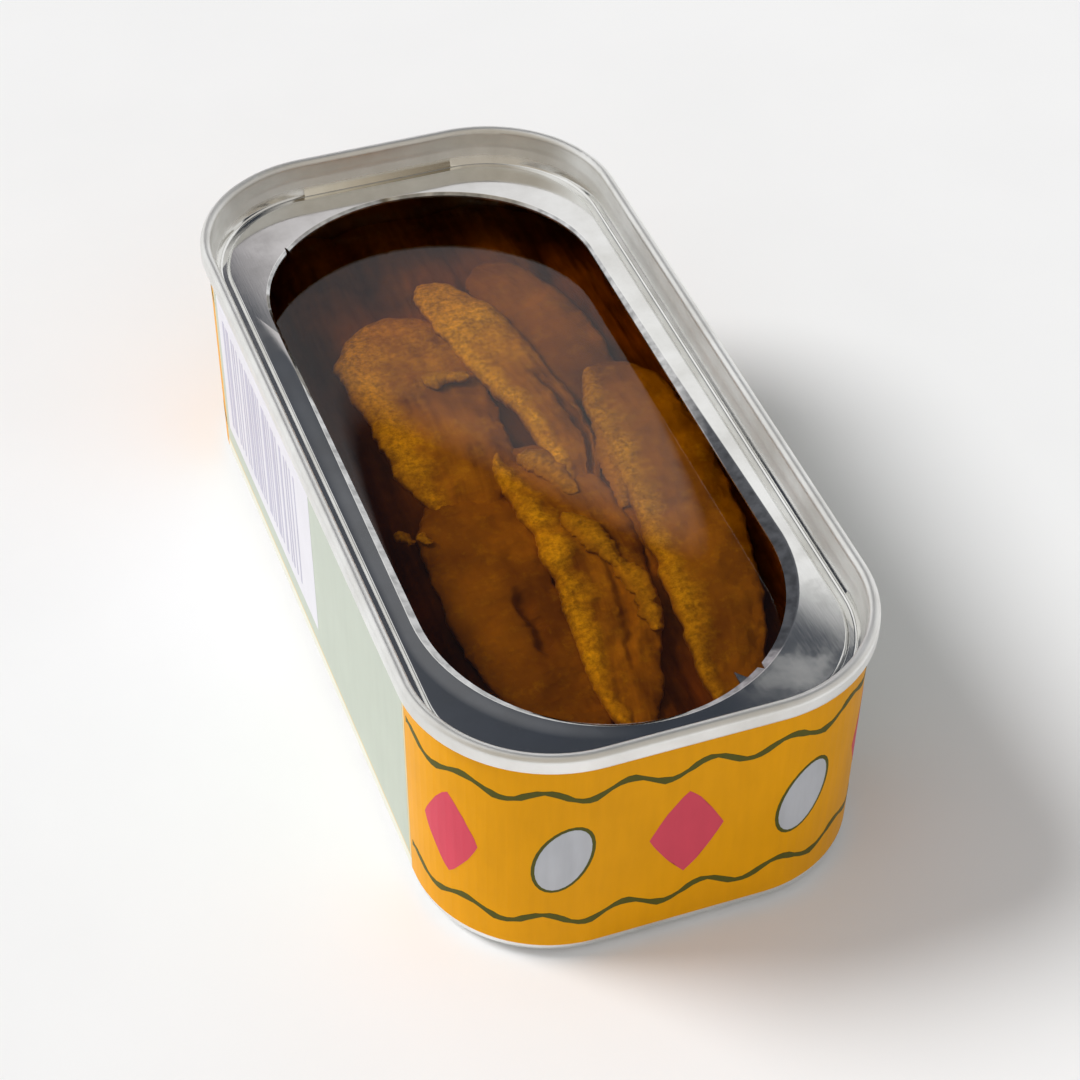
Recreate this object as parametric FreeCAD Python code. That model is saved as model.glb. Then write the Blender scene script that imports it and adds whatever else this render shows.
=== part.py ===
import FreeCAD
import Part
import os
from math import cos, hypot, pi, sin, sqrt

from FreeCAD import Vector

# An opened two-piece oblong fish tin, packed with anchovy fillets in oil.
# Millimetres. The origin is at the middle of the footprint, +Z is up, and the long side runs along Y.

# --- The tin as a whole ---
rim_length = 105.0
rim_width = 51.3
rim_corner_radius = 16.2
tin_height = 31.6

# --- Sheet metal ---
sheet = 0.25
seam_play = 0.02
seam_height = 2.2
cover_hook_gap = 0.205
body_hook_gap = 0.255

# --- Drawn body: the wall leans in towards the base ---
base_inset = 1.27
heel_radius = 1.9
standing_ring = 1.5
base_recess = 0.9
recess_radius = 0.8
recess_slope_run = 1.1
base_plate_inset = 8.0

# --- Lid: what is left after its panel was torn out ---
countersink_depth = 4.1
chuck_base_inset = 1.95
countersink_radius = 0.45
fold_radius = 0.2
wall_bend_radius = 2.0
countersink_groove = 0.3
groove_width = 0.9
groove_land = 1.15

# --- Torn opening: how much deck is left round it, and the lip pressed down along its edge ---
deck_left_at_sides = 4.0
deck_left_at_far_end = 4.55
deck_left_at_near_end = 4.35
far_end_reach = 17.8
near_end_reach = 21.0
lip_far = 0.35
lip_near = 0.6
lip_left_far = 0.35
lip_left_near = 0.9
lip_right_far = 0.35
lip_right_near = 1.5
lip_drop = 0.3

# --- Tears in the lip: place across, width and depth of the near and the far one, and the near one's flap ---
near_tear_x = 11.1
near_tear_width = 1.5
near_tear_depth = 0.9
far_tear_x = -14.6
far_tear_width = 1.1
far_tear_depth = 0.7
flap_length = 1.7
flap_width = 1.3

# --- Contents ---
oil_below_deck = 4.3
wall_play = 0.06
food_play = 0.12
bed_below_oil = 5.9
bed_ridge = 1.0
bed_ridges_across = 4.5
bed_drift = 0.7
stations_along_bed = 5
points_across_bed = 13

# --- Fillets of the top layer: each lies from its head to its tail ---
fillet_sections = 9
fillet_thickness = 3.1
ridge_share = 0.28
tail_taper = 0.30
s_bend_share = 0.12
shoulder_share = 0.35
blunt_end = 0.15
head_end_share = 0.22
tail_end_share = 0.14
# Name, head (x, y), tail (x, y), sway and width as shares of the room in the tin: half its width for x, sway
# and width, half its length for y. Then the top height of head and tail above the bed level.
top_fillets = (
    ("fillet_head_centre", (0.045, 0.728), (0.240, -0.140), 0.090, 0.338, 4.7, 4.9),
    ("fillet_left", (-0.270, 0.622), (-0.330, -0.090), 0.040, 0.635, 3.9, 3.7),
    ("fillet_ridge", (0.042, 0.098), (-0.066, -0.806), 0.150, 0.412, 3.4, 4.0),
    ("fillet_right", (0.735, 0.270), (0.395, -0.815), 0.072, 0.470, 3.6, 4.2),
    ("fillet_far_right", (0.366, 0.742), (0.600, 0.110), 0.040, 0.400, 2.6, 2.7),
    ("fillet_near_left", (-0.250, 0.000), (-0.262, -0.770), -0.091, 0.500, 3.0, 2.6),
)

# --- Worked out from the sizes above ---
layer_pitch = sheet + seam_play
hook_room = seam_height - layer_pitch - 1.5 * sheet
cover_hook = hook_room - cover_hook_gap
body_hook = hook_room - body_hook_gap
deck_top = tin_height - countersink_depth
deck_plate_inset = chuck_base_inset + groove_width + countersink_groove + groove_land
opening_half_width = rim_width / 2 - chuck_base_inset - deck_left_at_sides
opening_far_y = rim_length / 2 - chuck_base_inset - deck_left_at_far_end
opening_near_y = -rim_length / 2 + chuck_base_inset + deck_left_at_near_end
oil_level = deck_top - oil_below_deck
bed_level = oil_level - bed_below_oil
base_top = base_recess + sheet
contents_floor = base_top + wall_play


def point_between(start, end, share):
    """The point that lies the given share of the way from start to end."""
    return tuple(a + (b - a) * share for a, b in zip(start, end))


def rounded_outline(inset, z):
    """The rim's outline, moved inwards by inset, as a wire at height z."""
    half_x = rim_width / 2 - inset
    half_y = rim_length / 2 - inset
    radius = rim_corner_radius - inset
    side_x = half_x - radius
    side_y = half_y - radius
    edges = []
    for turn in range(4):
        out, run = (half_x, side_y) if turn % 2 == 0 else (half_y, side_x)
        along = side_x if turn % 2 == 0 else side_y
        diagonal = radius * sqrt(0.5)
        line = Part.LineSegment(Vector(out, -run, z), Vector(out, run, z)).toShape()
        arc = Part.Arc(
            Vector(out, run, z),
            Vector(along + diagonal, run + diagonal, z),
            Vector(along, run + radius, z),
        ).toShape()
        for edge in (line, arc):
            edge.rotate(Vector(0, 0, 0), Vector(0, 0, 1), 90 * turn)
            edges.append(edge)
    return Part.Wire(edges)


def plate(outline, thickness):
    """A flat plate that fills the outline and rises by thickness."""
    return Part.Face(outline).extrude(Vector(0, 0, thickness))


def side_of_sheet(corners, radii, offset):
    """One face of a bent sheet: edges that follow its middle line at an offset to the left."""
    directions = []
    for start, end in zip(corners, corners[1:]):
        length = hypot(end[0] - start[0], end[1] - start[1])
        directions.append(((end[0] - start[0]) / length, (end[1] - start[1]) / length))
    normals = [(-d[1], d[0]) for d in directions]

    def moved(point, direction, distance, normal, shift):
        x = point[0] + direction[0] * distance + normal[0] * shift
        z = point[1] + direction[1] * distance + normal[1] * shift
        return Vector(x, 0, z)

    pen = moved(corners[0], directions[0], 0, normals[0], offset)
    edges = []
    for i, radius in enumerate(radii):
        before, after = directions[i], directions[i + 1]
        cross = before[0] * after[1] - before[1] * after[0]
        dot = before[0] * after[0] + before[1] * after[1]
        side = 1 if cross > 0 else -1
        reach = radius * sqrt((1 - dot) / (1 + dot))
        corner = corners[i + 1]
        start = moved(corner, before, -reach, normals[i], offset)
        end = moved(corner, after, reach, normals[i + 1], offset)
        centre = moved(corner, before, -reach, normals[i], radius * side)
        outwards = Vector(corner[0], 0, corner[1]) - centre
        outwards.normalize()
        middle = centre + outwards * (radius - offset * side)
        if (start - pen).Length > 1e-6:
            edges.append(Part.LineSegment(pen, start).toShape())
        edges.append(Part.Arc(start, middle, end).toShape())
        pen = end
    last = moved(corners[-1], directions[-1], 0, normals[-1], offset)
    if (last - pen).Length > 1e-6:
        edges.append(Part.LineSegment(pen, last).toShape())
    return edges


def sheet_section(corners, radii):
    """The section of a bent sheet, from the corners of its middle line and their bend radii."""
    left = side_of_sheet(corners, radii, sheet / 2)
    right = side_of_sheet(corners, radii, -sheet / 2)
    start_cap = Part.LineSegment(left[0].firstVertex(True).Point, right[0].firstVertex(True).Point)
    end_cap = Part.LineSegment(left[-1].lastVertex(True).Point, right[-1].lastVertex(True).Point)
    edges = left + right + [start_cap.toShape(), end_cap.toShape()]
    return Part.Face(Part.Wire(Part.__sortEdges__(edges)))


def around_the_rim(section):
    """The section carried round the tin: straight along each side, and turned at each corner."""
    straight_y = rim_length - 2 * rim_corner_radius
    straight_x = rim_width - 2 * rim_corner_radius
    side_face = section.copy()
    side_face.translate(Vector(rim_width / 2, -straight_y / 2, 0))
    long_side = side_face.extrude(Vector(0, straight_y, 0))
    corner_face = section.copy()
    corner_face.translate(Vector(rim_width / 2, straight_y / 2, 0))
    pivot = Vector(straight_x / 2, straight_y / 2, 0)
    first_corner = corner_face.revolve(pivot, Vector(0, 0, 1), 90)
    end_face = section.copy()
    end_face.rotate(Vector(0, 0, 0), Vector(0, 0, 1), 90)
    end_face.translate(Vector(straight_x / 2, rim_length / 2, 0))
    short_side = end_face.extrude(Vector(-straight_x, 0, 0))
    second_face = end_face.copy()
    second_face.translate(Vector(-straight_x, 0, 0))
    second_pivot = Vector(-straight_x / 2, straight_y / 2, 0)
    second_corner = second_face.revolve(second_pivot, Vector(0, 0, 1), 90)
    half = [long_side, first_corner, short_side, second_corner]
    pieces = []
    for turn in range(2):
        for piece in half:
            placed = piece.copy()
            placed.rotate(Vector(0, 0, 0), Vector(0, 0, 1), 180 * turn)
            pieces.append(placed)
    return pieces


def joined(pieces):
    """One solid from pieces that share faces."""
    whole = pieces[0].fuse(pieces[1:]).removeSplitter()
    return whole.Solids[0]


def body_wall_inset(z):
    """How far the outside of the body's wall lies in from the rim's outline at height z."""
    top = 3 * layer_pitch
    top_z = tin_height - seam_height
    return base_inset + (top - base_inset) * (z - heel_radius) / (top_z - heel_radius)


def tin_body():
    """The drawn body: base plate, standing ring, heel, wall and the flange hooked into the seam."""
    mid = sheet / 2
    wall_foot = -base_inset - mid
    wall_head = -3 * layer_pitch - mid
    seam_foot = tin_height - seam_height
    flange_top = tin_height - layer_pitch - mid
    ring_inner = wall_foot - heel_radius - standing_ring
    recess_foot = ring_inner - recess_slope_run
    corners = (
        (-base_plate_inset, base_recess + mid),
        (recess_foot, base_recess + mid),
        (ring_inner, mid),
        (wall_foot, mid),
        (wall_head, seam_foot),
        (wall_head, flange_top),
        (wall_head + 2 * layer_pitch, flange_top),
        (wall_head + 2 * layer_pitch, flange_top - body_hook),
    )
    bends = (recess_radius, recess_radius, heel_radius, wall_bend_radius, layer_pitch, layer_pitch)
    ring = around_the_rim(sheet_section(corners, bends))
    base = plate(rounded_outline(base_plate_inset, base_recess), sheet)
    return joined(ring + [base])


def opening_outline(z, left=(0, 0), right=(0, 0), near=0, far=0):
    """The torn opening: long sides and elliptic ends. left and right grow it by (near end, far end)."""
    far_start = opening_far_y - far_end_reach
    near_start = opening_near_y + near_end_reach

    def half_ellipse(centre_y, reach, sign, grow_left, grow_right):
        half = opening_half_width + (grow_left + grow_right) / 2
        arc = Part.Arc(Vector(half, 0, 0), Vector(0, half, 0), Vector(-half, 0, 0)).toShape()
        stretch = FreeCAD.Matrix()
        stretch.scale(Vector(1, sign * reach / half, 1))
        stretch.move(Vector((grow_right - grow_left) / 2, centre_y, z))
        return arc.transformGeometry(stretch)

    def long_side(sign, grow):
        start = Vector(sign * (opening_half_width + grow[0]), near_start, z)
        end = Vector(sign * (opening_half_width + grow[1]), far_start, z)
        return Part.LineSegment(start, end).toShape()

    near_end = half_ellipse(near_start, near_end_reach + near, -1, left[0], right[0])
    far_end = half_ellipse(far_start, far_end_reach + far, 1, left[1], right[1])
    edges = [long_side(1, right), far_end, long_side(-1, left), near_end]
    return Part.Wire(Part.__sortEdges__(edges))


def bend_line(z):
    """The line along which the edge was pressed down: close to the opening at left, wide at near right."""
    left = (lip_left_near, lip_left_far)
    right = (lip_right_near, lip_right_far)
    return opening_outline(z, left, right, lip_near, lip_far)


def slanted_form(top_z):
    """A plug that narrows from the bend line at top_z to the opening at the lip's drop."""
    return Part.makeLoft([opening_outline(top_z - lip_drop), bend_line(top_z)], True, True)


def torn_lip():
    """The edge of the opening, pressed down as the panel was pulled out."""
    outer = slanted_form(deck_top - sheet).fuse(plate(bend_line(deck_top - sheet), sheet))
    inner = slanted_form(deck_top).fuse(plate(opening_outline(deck_top - lip_drop - sheet), sheet))
    return outer.cut(inner)


def end_edge_y(x, end):
    """Where the opening's edge is at x, at the far end (1) or the near end (-1)."""
    reach = far_end_reach if end > 0 else near_end_reach
    tip = opening_far_y if end > 0 else opening_near_y
    return tip - end * reach * (1 - sqrt(1 - (x / opening_half_width) ** 2))


def tear(x, end, width, depth):
    """A wedge that is torn out of the edge at x, pointing away from the opening."""
    y = end_edge_y(x, end)
    out = Vector(x, y - end * opening_half_width / 4, 0)
    out.normalize()
    side = Vector(-out.y, out.x, 0)
    foot = Vector(x, y, deck_top - 2 * lip_drop - sheet) - out * depth
    corners = [foot - side * width, foot + out * depth * 2, foot + side * width]
    return Part.Face(Part.makePolygon(corners + [corners[0]])).extrude(Vector(0, 0, countersink_depth))


def torn_flap():
    """The tongue of metal beside the near tear, left pointing into the opening."""
    x = near_tear_x - near_tear_width - flap_width
    y = end_edge_y(x, -1)
    root = y - lip_near / 2
    z = deck_top - lip_drop - sheet
    corners = [
        Vector(x, root, z),
        Vector(x + flap_width, root + flap_width / 3, z),
        Vector(x, y + flap_length, z),
    ]
    return Part.Face(Part.makePolygon(corners + [corners[0]])).extrude(Vector(0, 0, sheet))


def lid_ring():
    """The lid's seam, chuck wall and deck, with the torn opening in the deck."""
    mid = sheet / 2
    deck_mid = deck_top - mid
    groove_mid = deck_mid - countersink_groove
    chuck_head = -4 * layer_pitch - mid
    chuck_foot = -chuck_base_inset - mid
    seam_foot = tin_height - seam_height
    groove_inner = chuck_foot - groove_width
    corners = (
        (-deck_plate_inset, deck_mid),
        (groove_inner - countersink_groove, deck_mid),
        (groove_inner, groove_mid),
        (chuck_foot, groove_mid),
        (chuck_head, seam_foot),
        (chuck_head, tin_height - mid),
        (-mid, tin_height - mid),
        (-mid, seam_foot + mid),
        (-mid - 2 * layer_pitch, seam_foot + mid),
        (-mid - 2 * layer_pitch, seam_foot + mid + cover_hook),
    )
    over = 2 * layer_pitch
    bends = (fold_radius, fold_radius, countersink_radius, wall_bend_radius)
    bends += (over, over, layer_pitch, layer_pitch)
    ring = around_the_rim(sheet_section(corners, bends))
    outline = rounded_outline(deck_plate_inset, deck_top - sheet)
    flat = plate(outline, sheet)
    hole = plate(bend_line(deck_top - sheet), sheet)
    lip = torn_lip()
    deck = flat.cut(hole)
    for wedge in (
        tear(near_tear_x, -1, near_tear_width / 2, near_tear_depth),
        tear(far_tear_x, 1, far_tear_width / 2, far_tear_depth),
    ):
        lip = lip.cut(wedge)
        deck = deck.cut(wedge)
    return joined(ring + [deck, lip, torn_flap()])


def cavity(top_z):
    """The space that the contents fill, up to top_z, a little clear of the wall."""
    low = contents_floor
    foot = body_wall_inset(low) + sheet + wall_play
    head = body_wall_inset(top_z) + sheet + wall_play
    form = Part.makeLoft([rounded_outline(foot, low), rounded_outline(head, top_z)], True, True)
    low_edges = [e for e in form.Edges if abs(e.BoundBox.ZMax - low) < 1e-6]
    return form.makeFillet(heel_radius, low_edges)


def bed_height(x, y):
    """The height of the lower layers' top: long ridges that wander a little."""
    drift = bed_drift * sin(2 * pi * y / rim_length)
    phase = 2 * pi * bed_ridges_across * (x + drift) / rim_width
    return bed_level + bed_ridge * cos(phase) - bed_ridge / 2 * cos(2 * pi * y / rim_length)


def bed_form(lift):
    """Everything below the top of the lower layers, wider than the tin."""
    wires = []
    for row in range(stations_along_bed):
        y = rim_length * (row / (stations_along_bed - 1) - 0.5)
        tops = []
        for col in range(points_across_bed):
            x = rim_width * (col / (points_across_bed - 1) - 0.5)
            tops.append(Vector(x, y, bed_height(x, y) + lift))
        crest = Part.BSplineCurve()
        crest.interpolate(Points=tops)
        foot_left = Vector(-rim_width / 2, y, 0)
        foot_right = Vector(rim_width / 2, y, 0)
        edges = [
            crest.toShape(),
            Part.LineSegment(tops[-1], foot_right).toShape(),
            Part.LineSegment(foot_right, foot_left).toShape(),
            Part.LineSegment(foot_left, tops[0]).toShape(),
        ]
        wires.append(Part.Wire(edges))
    return Part.makeLoft(wires, True, False)


def fillet_breadth(share):
    """Breadth of a fillet along its length: a blunt head, a full shoulder and a slim tail."""
    head = sqrt(sin(pi / 2 * min(1, blunt_end + share / head_end_share)))
    tail = 1 - tail_taper * max(0, (share - shoulder_share) / (1 - shoulder_share)) ** 1.5
    tip = sqrt(sin(pi / 2 * min(1, blunt_end + (1 - share) / tail_end_share)))
    return head * tail * tip


def fillet(head_share, tail_share, sway_share, width_share, head_rise, tail_rise, grow=0):
    """One fillet: a flat, ridged strip of fish that bends sideways."""
    clear = body_wall_inset(bed_level) + sheet + wall_play
    room_x = rim_width / 2 - clear
    room_y = rim_length / 2 - clear
    head = (head_share[0] * room_x, head_share[1] * room_y)
    tail = (tail_share[0] * room_x, tail_share[1] * room_y)
    sway = sway_share * room_x
    width = width_share * room_x
    length = hypot(tail[0] - head[0], tail[1] - head[1])
    along = ((tail[0] - head[0]) / length, (tail[1] - head[1]) / length)
    across = (-along[1], along[0])
    wires = []
    for k in range(fillet_sections):
        share = k / (fillet_sections - 1)
        stretch = grow * (2 * share - 1)
        middle = point_between(head, tail, share)
        bend = sway * (sin(pi * share) + s_bend_share * sin(3 * pi * share))
        x = middle[0] + across[0] * bend + along[0] * stretch
        y = middle[1] + across[1] * bend + along[1] * stretch
        breadth = width / 2 * fillet_breadth(share) + grow
        depth = fillet_thickness / 2 * (0.35 + 0.65 * fillet_breadth(share)) + grow
        top = bed_level + head_rise + (tail_rise - head_rise) * share
        z = top - fillet_thickness / 2
        ridge = ridge_share * depth
        outline = []
        for step in range(10):
            angle = 2 * pi * step / 10
            side = breadth * cos(angle)
            up = depth * sin(angle) + ridge * max(0, sin(angle)) * cos(2 * angle)
            outline.append(Vector(x + across[0] * side, y + across[1] * side, z + up))
        curve = Part.BSplineCurve()
        curve.interpolate(Points=outline, PeriodicFlag=True)
        wires.append(Part.Wire(curve.toShape()))
    return Part.makeLoft(wires, True, False)


def contents():
    """The top fillets, the lower layers that they lie on, and the oil round them all."""
    nodes = {}
    grown = []
    for name, head, tail, sway, width, head_rise, tail_rise in top_fillets:
        sizes = (head, tail, sway, width, head_rise, tail_rise)
        strip = fillet(*sizes)
        for earlier in grown:
            strip = strip.cut(earlier)
        nodes[name] = max(strip.Solids, key=lambda solid: solid.Volume)
        grown.append(fillet(*sizes, grow=food_play))
    lower = cavity(bed_level + 3 * bed_ridge).common(bed_form(0))
    oil = cavity(oil_level).cut(bed_form(food_play))
    for space in grown:
        lower = lower.cut(space)
        oil = oil.cut(space)
    nodes["packed_fillets"] = max(lower.Solids, key=lambda solid: solid.Volume)
    nodes["oil"] = max(oil.Solids, key=lambda solid: solid.Volume)
    return nodes


nodes = {"tin_body": tin_body(), "lid_ring": lid_ring()}
nodes.update(contents())
os.makedirs("parts", exist_ok=True)
for name, shape in nodes.items():
    shape.exportStep(f"parts/{name}.step")
    print(name, "valid", shape.isValid(), "solids", len(shape.Solids), "volume", round(shape.Volume, 1))
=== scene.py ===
# %% [markdown]
# # An opened tin of anchovy fillets in oil
# A small oblong tin stands on a pale table with its lid panel torn out. The construction model has already
# settled every size, so the first step loads it as a fixed frame: its pieces stay where they are, and all
# that is made here is fitted to them.

# %% Load the frame
import bpy
import bmesh
from math import cos, exp, hypot, pi, radians, sin
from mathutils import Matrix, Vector, noise
from random import Random


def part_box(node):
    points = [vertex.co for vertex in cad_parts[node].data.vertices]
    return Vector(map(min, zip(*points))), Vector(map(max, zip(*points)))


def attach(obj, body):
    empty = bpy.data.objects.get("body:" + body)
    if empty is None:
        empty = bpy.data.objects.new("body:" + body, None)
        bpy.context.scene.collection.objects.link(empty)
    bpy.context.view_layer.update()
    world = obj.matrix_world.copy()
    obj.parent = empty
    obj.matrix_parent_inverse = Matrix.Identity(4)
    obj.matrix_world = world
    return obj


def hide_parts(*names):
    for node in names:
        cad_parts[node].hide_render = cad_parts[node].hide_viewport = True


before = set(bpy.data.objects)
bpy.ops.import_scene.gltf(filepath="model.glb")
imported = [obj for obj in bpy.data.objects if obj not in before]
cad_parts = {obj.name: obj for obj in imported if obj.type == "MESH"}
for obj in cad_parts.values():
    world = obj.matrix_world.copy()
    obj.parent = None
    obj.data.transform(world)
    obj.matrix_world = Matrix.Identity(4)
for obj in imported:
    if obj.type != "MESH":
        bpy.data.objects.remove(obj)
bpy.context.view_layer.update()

MM = 0.001

# %% [markdown]
# ## Sizes taken from the frame
# The tin's outline is a rounded rectangle, and nearly everything follows it: the print on the wall, the
# oil's edge and the food below. The overall sizes are read from the frame's pieces, and only what their
# boxes can't tell, such as the corner's radius, is written here as a number.

# %% Read the tin's main sizes
ring_low, ring_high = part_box("lid_ring")
RIM_LENGTH = (ring_high[1] - ring_low[1]) / MM
RIM_WIDTH = (ring_high[0] - ring_low[0]) / MM
TIN_HEIGHT = ring_high[2] / MM
OIL_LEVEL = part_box("oil")[1][2] / MM
CORNER_RADIUS = 16.2
SHEET = 0.25
SEAM_FOOT = TIN_HEIGHT - 2.2
HEEL_RADIUS = 1.9
FOOT_INSET = 1.27
HEAD_INSET = 0.81
DECK_TOP = TIN_HEIGHT - 4.1
OPENING_HALF = 19.7
OPENING_REACH = 19.4
OPENING_STRAIGHT = 46.1 - OPENING_REACH
STRAIGHT_X = RIM_WIDTH / 2 - CORNER_RADIUS
STRAIGHT_Y = RIM_LENGTH / 2 - CORNER_RADIUS
print(
    "rim", round(RIM_LENGTH, 2), "by", round(RIM_WIDTH, 2), "height", round(TIN_HEIGHT, 2), "oil",
    round(OIL_LEVEL, 2),
)

# %% [markdown]
# ## Helpers
# A colour is easiest to write as the hex value that a paint program shows, but a renderer adds up light, so
# it needs linear numbers. One function does that. A second adds a node: it takes the node's kind, what its
# inputs are joined or set to, and its settings. It saves several lines for each node without hiding any. A
# third starts a material and sets what stays constant over the whole surface. The scale of a noise says how
# many patches it has in a metre, so it is written per millimetre: 0.5 / MM makes patches 2 mm wide.

# %% Colour and node helpers
def linear(hex_code):
    """A hex colour as linear red, green, blue and an alpha of 1."""
    parts = [int(hex_code[i : i + 2], 16) / 255 for i in (1, 3, 5)]
    return (*[c / 12.92 if c <= 0.04045 else ((c + 0.055) / 1.055) ** 2.4 for c in parts], 1.0)


def add(tree, kind, inputs=None, **settings):
    """Adds a node. Each input is set to a value, or joined to a socket or to a node's first output."""
    node = tree.nodes.new(kind)
    for name, value in settings.items():
        if name == "stops":
            ramp = node.color_ramp.elements
            while len(ramp) < len(value):
                ramp.new(1.0)
            for stop, (place, colour) in zip(ramp, value):
                stop.position = place
                stop.color = colour
        elif name == "points":
            line = node.mapping.curves[0].points
            while len(line) < len(value):
                line.new(0.5, 0.5)
            for point, (x, y) in zip(line, value):
                point.location = (x, y)
            node.mapping.update()
        else:
            setattr(node, name, value)
    for name, value in (inputs or {}).items():
        if isinstance(value, bpy.types.Node):
            value = next(socket for socket in value.outputs if socket.enabled)
        if isinstance(value, bpy.types.NodeSocket):
            tree.links.new(value, node.inputs[name])
        else:
            node.inputs[name].default_value = value
    return node


def new_finish(name, constants):
    """A new material, its tree and its surface shader, whose own inputs are set to the constants."""
    material = bpy.data.materials.new(name)
    material.use_nodes = True
    shader = material.node_tree.nodes["Principled BSDF"]
    for title, value in constants.items():
        shader.inputs[title].default_value = value
    return material, material.node_tree, shader


# %% [markdown]
# ## The table, the light and the camera
# The tin is seen from above its near left corner with a fairly long lens. The table is one large pale
# plane that runs out of the picture on every side, so no edge shows.

# %% Camera and table
scene = bpy.context.scene
scene.view_settings.view_transform = "Standard"

lens = bpy.data.cameras.new("camera")
lens.lens = 92.81
lens.sensor_width = 36
lens.clip_start = 0.01
lens.clip_end = 50
camera = bpy.data.objects.new("camera", lens)
camera.location = (-0.0805, -0.2210, 0.2301)
camera.rotation_euler = (radians(46.9995), radians(-0.6003), radians(-20.1524))
scene.collection.objects.link(camera)
scene.camera = camera

table_mesh = bpy.data.meshes.new("table")
HALF_TABLE = 4.0
corners = [(x * HALF_TABLE, y * HALF_TABLE, 0) for x, y in ((-1, -1), (1, -1), (1, 1), (-1, 1))]
table_mesh.from_pydata(corners, [], [(0, 1, 2, 3)])
table = bpy.data.objects.new("table", table_mesh)
scene.collection.objects.link(table)

matt = {"Roughness": 0.95, "Specular IOR Level": 0.1}
paper, paper_nodes, paper_shader = new_finish("matt_background_paper", matt)
spot = add(paper_nodes, "ShaderNodeTexCoord").outputs["Object"]
fibre = add(paper_nodes, "ShaderNodeTexNoise", {"Vector": spot, "Scale": 0.04 / MM, "Detail": 3.0})
tone = add(
    paper_nodes, "ShaderNodeValToRGB", {"Fac": fibre},
    stops=[(0.3, linear("#F0F0F0")), (0.7, linear("#F2F2F2"))],
)
paper_nodes.links.new(tone.outputs["Color"], paper_shader.inputs["Base Color"])
table_mesh.materials.append(paper)
print("camera", [round(v, 4) for v in camera.location], "lens", lens.lens)

# %% [markdown]
# One broad lamp stands at the far left, so the shadow falls soft and wide to the right. A sun lamp with a
# wide angle gives that: its light is even over the whole table. The rest of the light comes from the world,
# a little stronger from the near side and the left, where a reflector would stand. The lamp itself is kept
# out of mirrors, because the cards below stand for what shines there.
#
# Bare metal shows hardly any colour of its own. It shows the room. A plain white room would make the lid
# look like grey plastic, so what the metal mirrors is given a form, like the cards of a studio: a white
# card low down behind the tin with two straight edges, a dark room above it, a white box at the left, and
# warm grey cards with a dark gap on the near side. The world picks between these by the kind of ray: what
# lights matt surfaces, what shines in gloss, and what the camera sees.

# %% Lamp and world
LIGHT_FROM = Vector((-0.613, 0.380, 0.692))
lamp = bpy.data.lights.new("broad_lamp", "SUN")
lamp.energy = 2.5
lamp.angle = radians(25)
lamp_object = bpy.data.objects.new("broad_lamp", lamp)
lamp_object.rotation_euler = LIGHT_FROM.to_track_quat("Z", "Y").to_euler()
lamp_object.visible_glossy = False
scene.collection.objects.link(lamp_object)

world = bpy.data.worlds.new("studio")
world.use_nodes = True
scene.world = world
sky = world.node_tree
sky.nodes.clear()
heading = add(sky, "ShaderNodeTexCoord").outputs["Generated"]
toward = add(sky, "ShaderNodeSeparateXYZ", {"Vector": heading}).outputs
ray = add(sky, "ShaderNodeLightPath").outputs

upper_edge = add(sky, "ShaderNodeVectorMath", {
    0: heading, 1: (0.600, 0.421, -0.680)}, operation="DOT_PRODUCT")
left_edge = add(sky, "ShaderNodeVectorMath", {
    0: heading, 1: (0.890, 0.134, -0.435)}, operation="DOT_PRODUCT")
inside = add(sky, "ShaderNodeMath", {0: upper_edge, 1: left_edge}, operation="MINIMUM")
on_card = add(sky, "ShaderNodeMapRange", {"Value": inside, "From Min": -0.006, "From Max": 0.006})
card_turn = add(sky, "ShaderNodeMath", {0: toward["X"], 1: toward["Y"]}, operation="DIVIDE")
card_tone = add(sky, "ShaderNodeMapRange", {"Value": card_turn, "From Min": 0.20, "From Max": 0.42})
card = add(sky, "ShaderNodeMix", {
    0: card_tone, 6: (0.53, 0.50, 0.52, 1), 7: (0.93, 0.93, 0.93, 1)}, data_type="RGBA")
room_tone = add(sky, "ShaderNodeMapRange", {"Value": toward["X"], "From Min": 0.02, "From Max": 0.26})
room = add(sky, "ShaderNodeMix", {
    0: room_tone, 6: (0.150, 0.155, 0.170, 1), 7: (0.046, 0.053, 0.068, 1)}, data_type="RGBA")
behind = add(sky, "ShaderNodeMix", {0: on_card, 6: room, 7: card}, data_type="RGBA")
on_box = add(sky, "ShaderNodeMapRange", {"Value": toward["X"], "From Min": -0.05, "From Max": -0.15})
with_box = add(sky, "ShaderNodeMix", {0: on_box, 6: behind, 7: (1.0, 1.0, 1.0, 1)}, data_type="RGBA")
near_half = add(sky, "ShaderNodeMapRange", {"Value": toward["Y"], "From Min": 0.15, "From Max": -0.15})
near_turn = add(sky, "ShaderNodeMapRange", {"Value": toward["X"], "From Min": 0.15, "From Max": 0.35})
near_stops = [
    (0.0, (0.50, 0.45, 0.38, 1)), (0.22, (0.66, 0.61, 0.52, 1)), (0.40, (0.42, 0.36, 0.27, 1)),
    (0.56, (0.15, 0.12, 0.08, 1)), (0.62, (0.15, 0.12, 0.08, 1)), (0.82, (0.58, 0.56, 0.53, 1)),
]
near_cards = add(sky, "ShaderNodeValToRGB", {"Fac": near_turn}, stops=near_stops)
mirrored = add(sky, "ShaderNodeMix", {0: near_half, 6: with_box, 7: near_cards}, data_type="RGBA")

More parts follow.
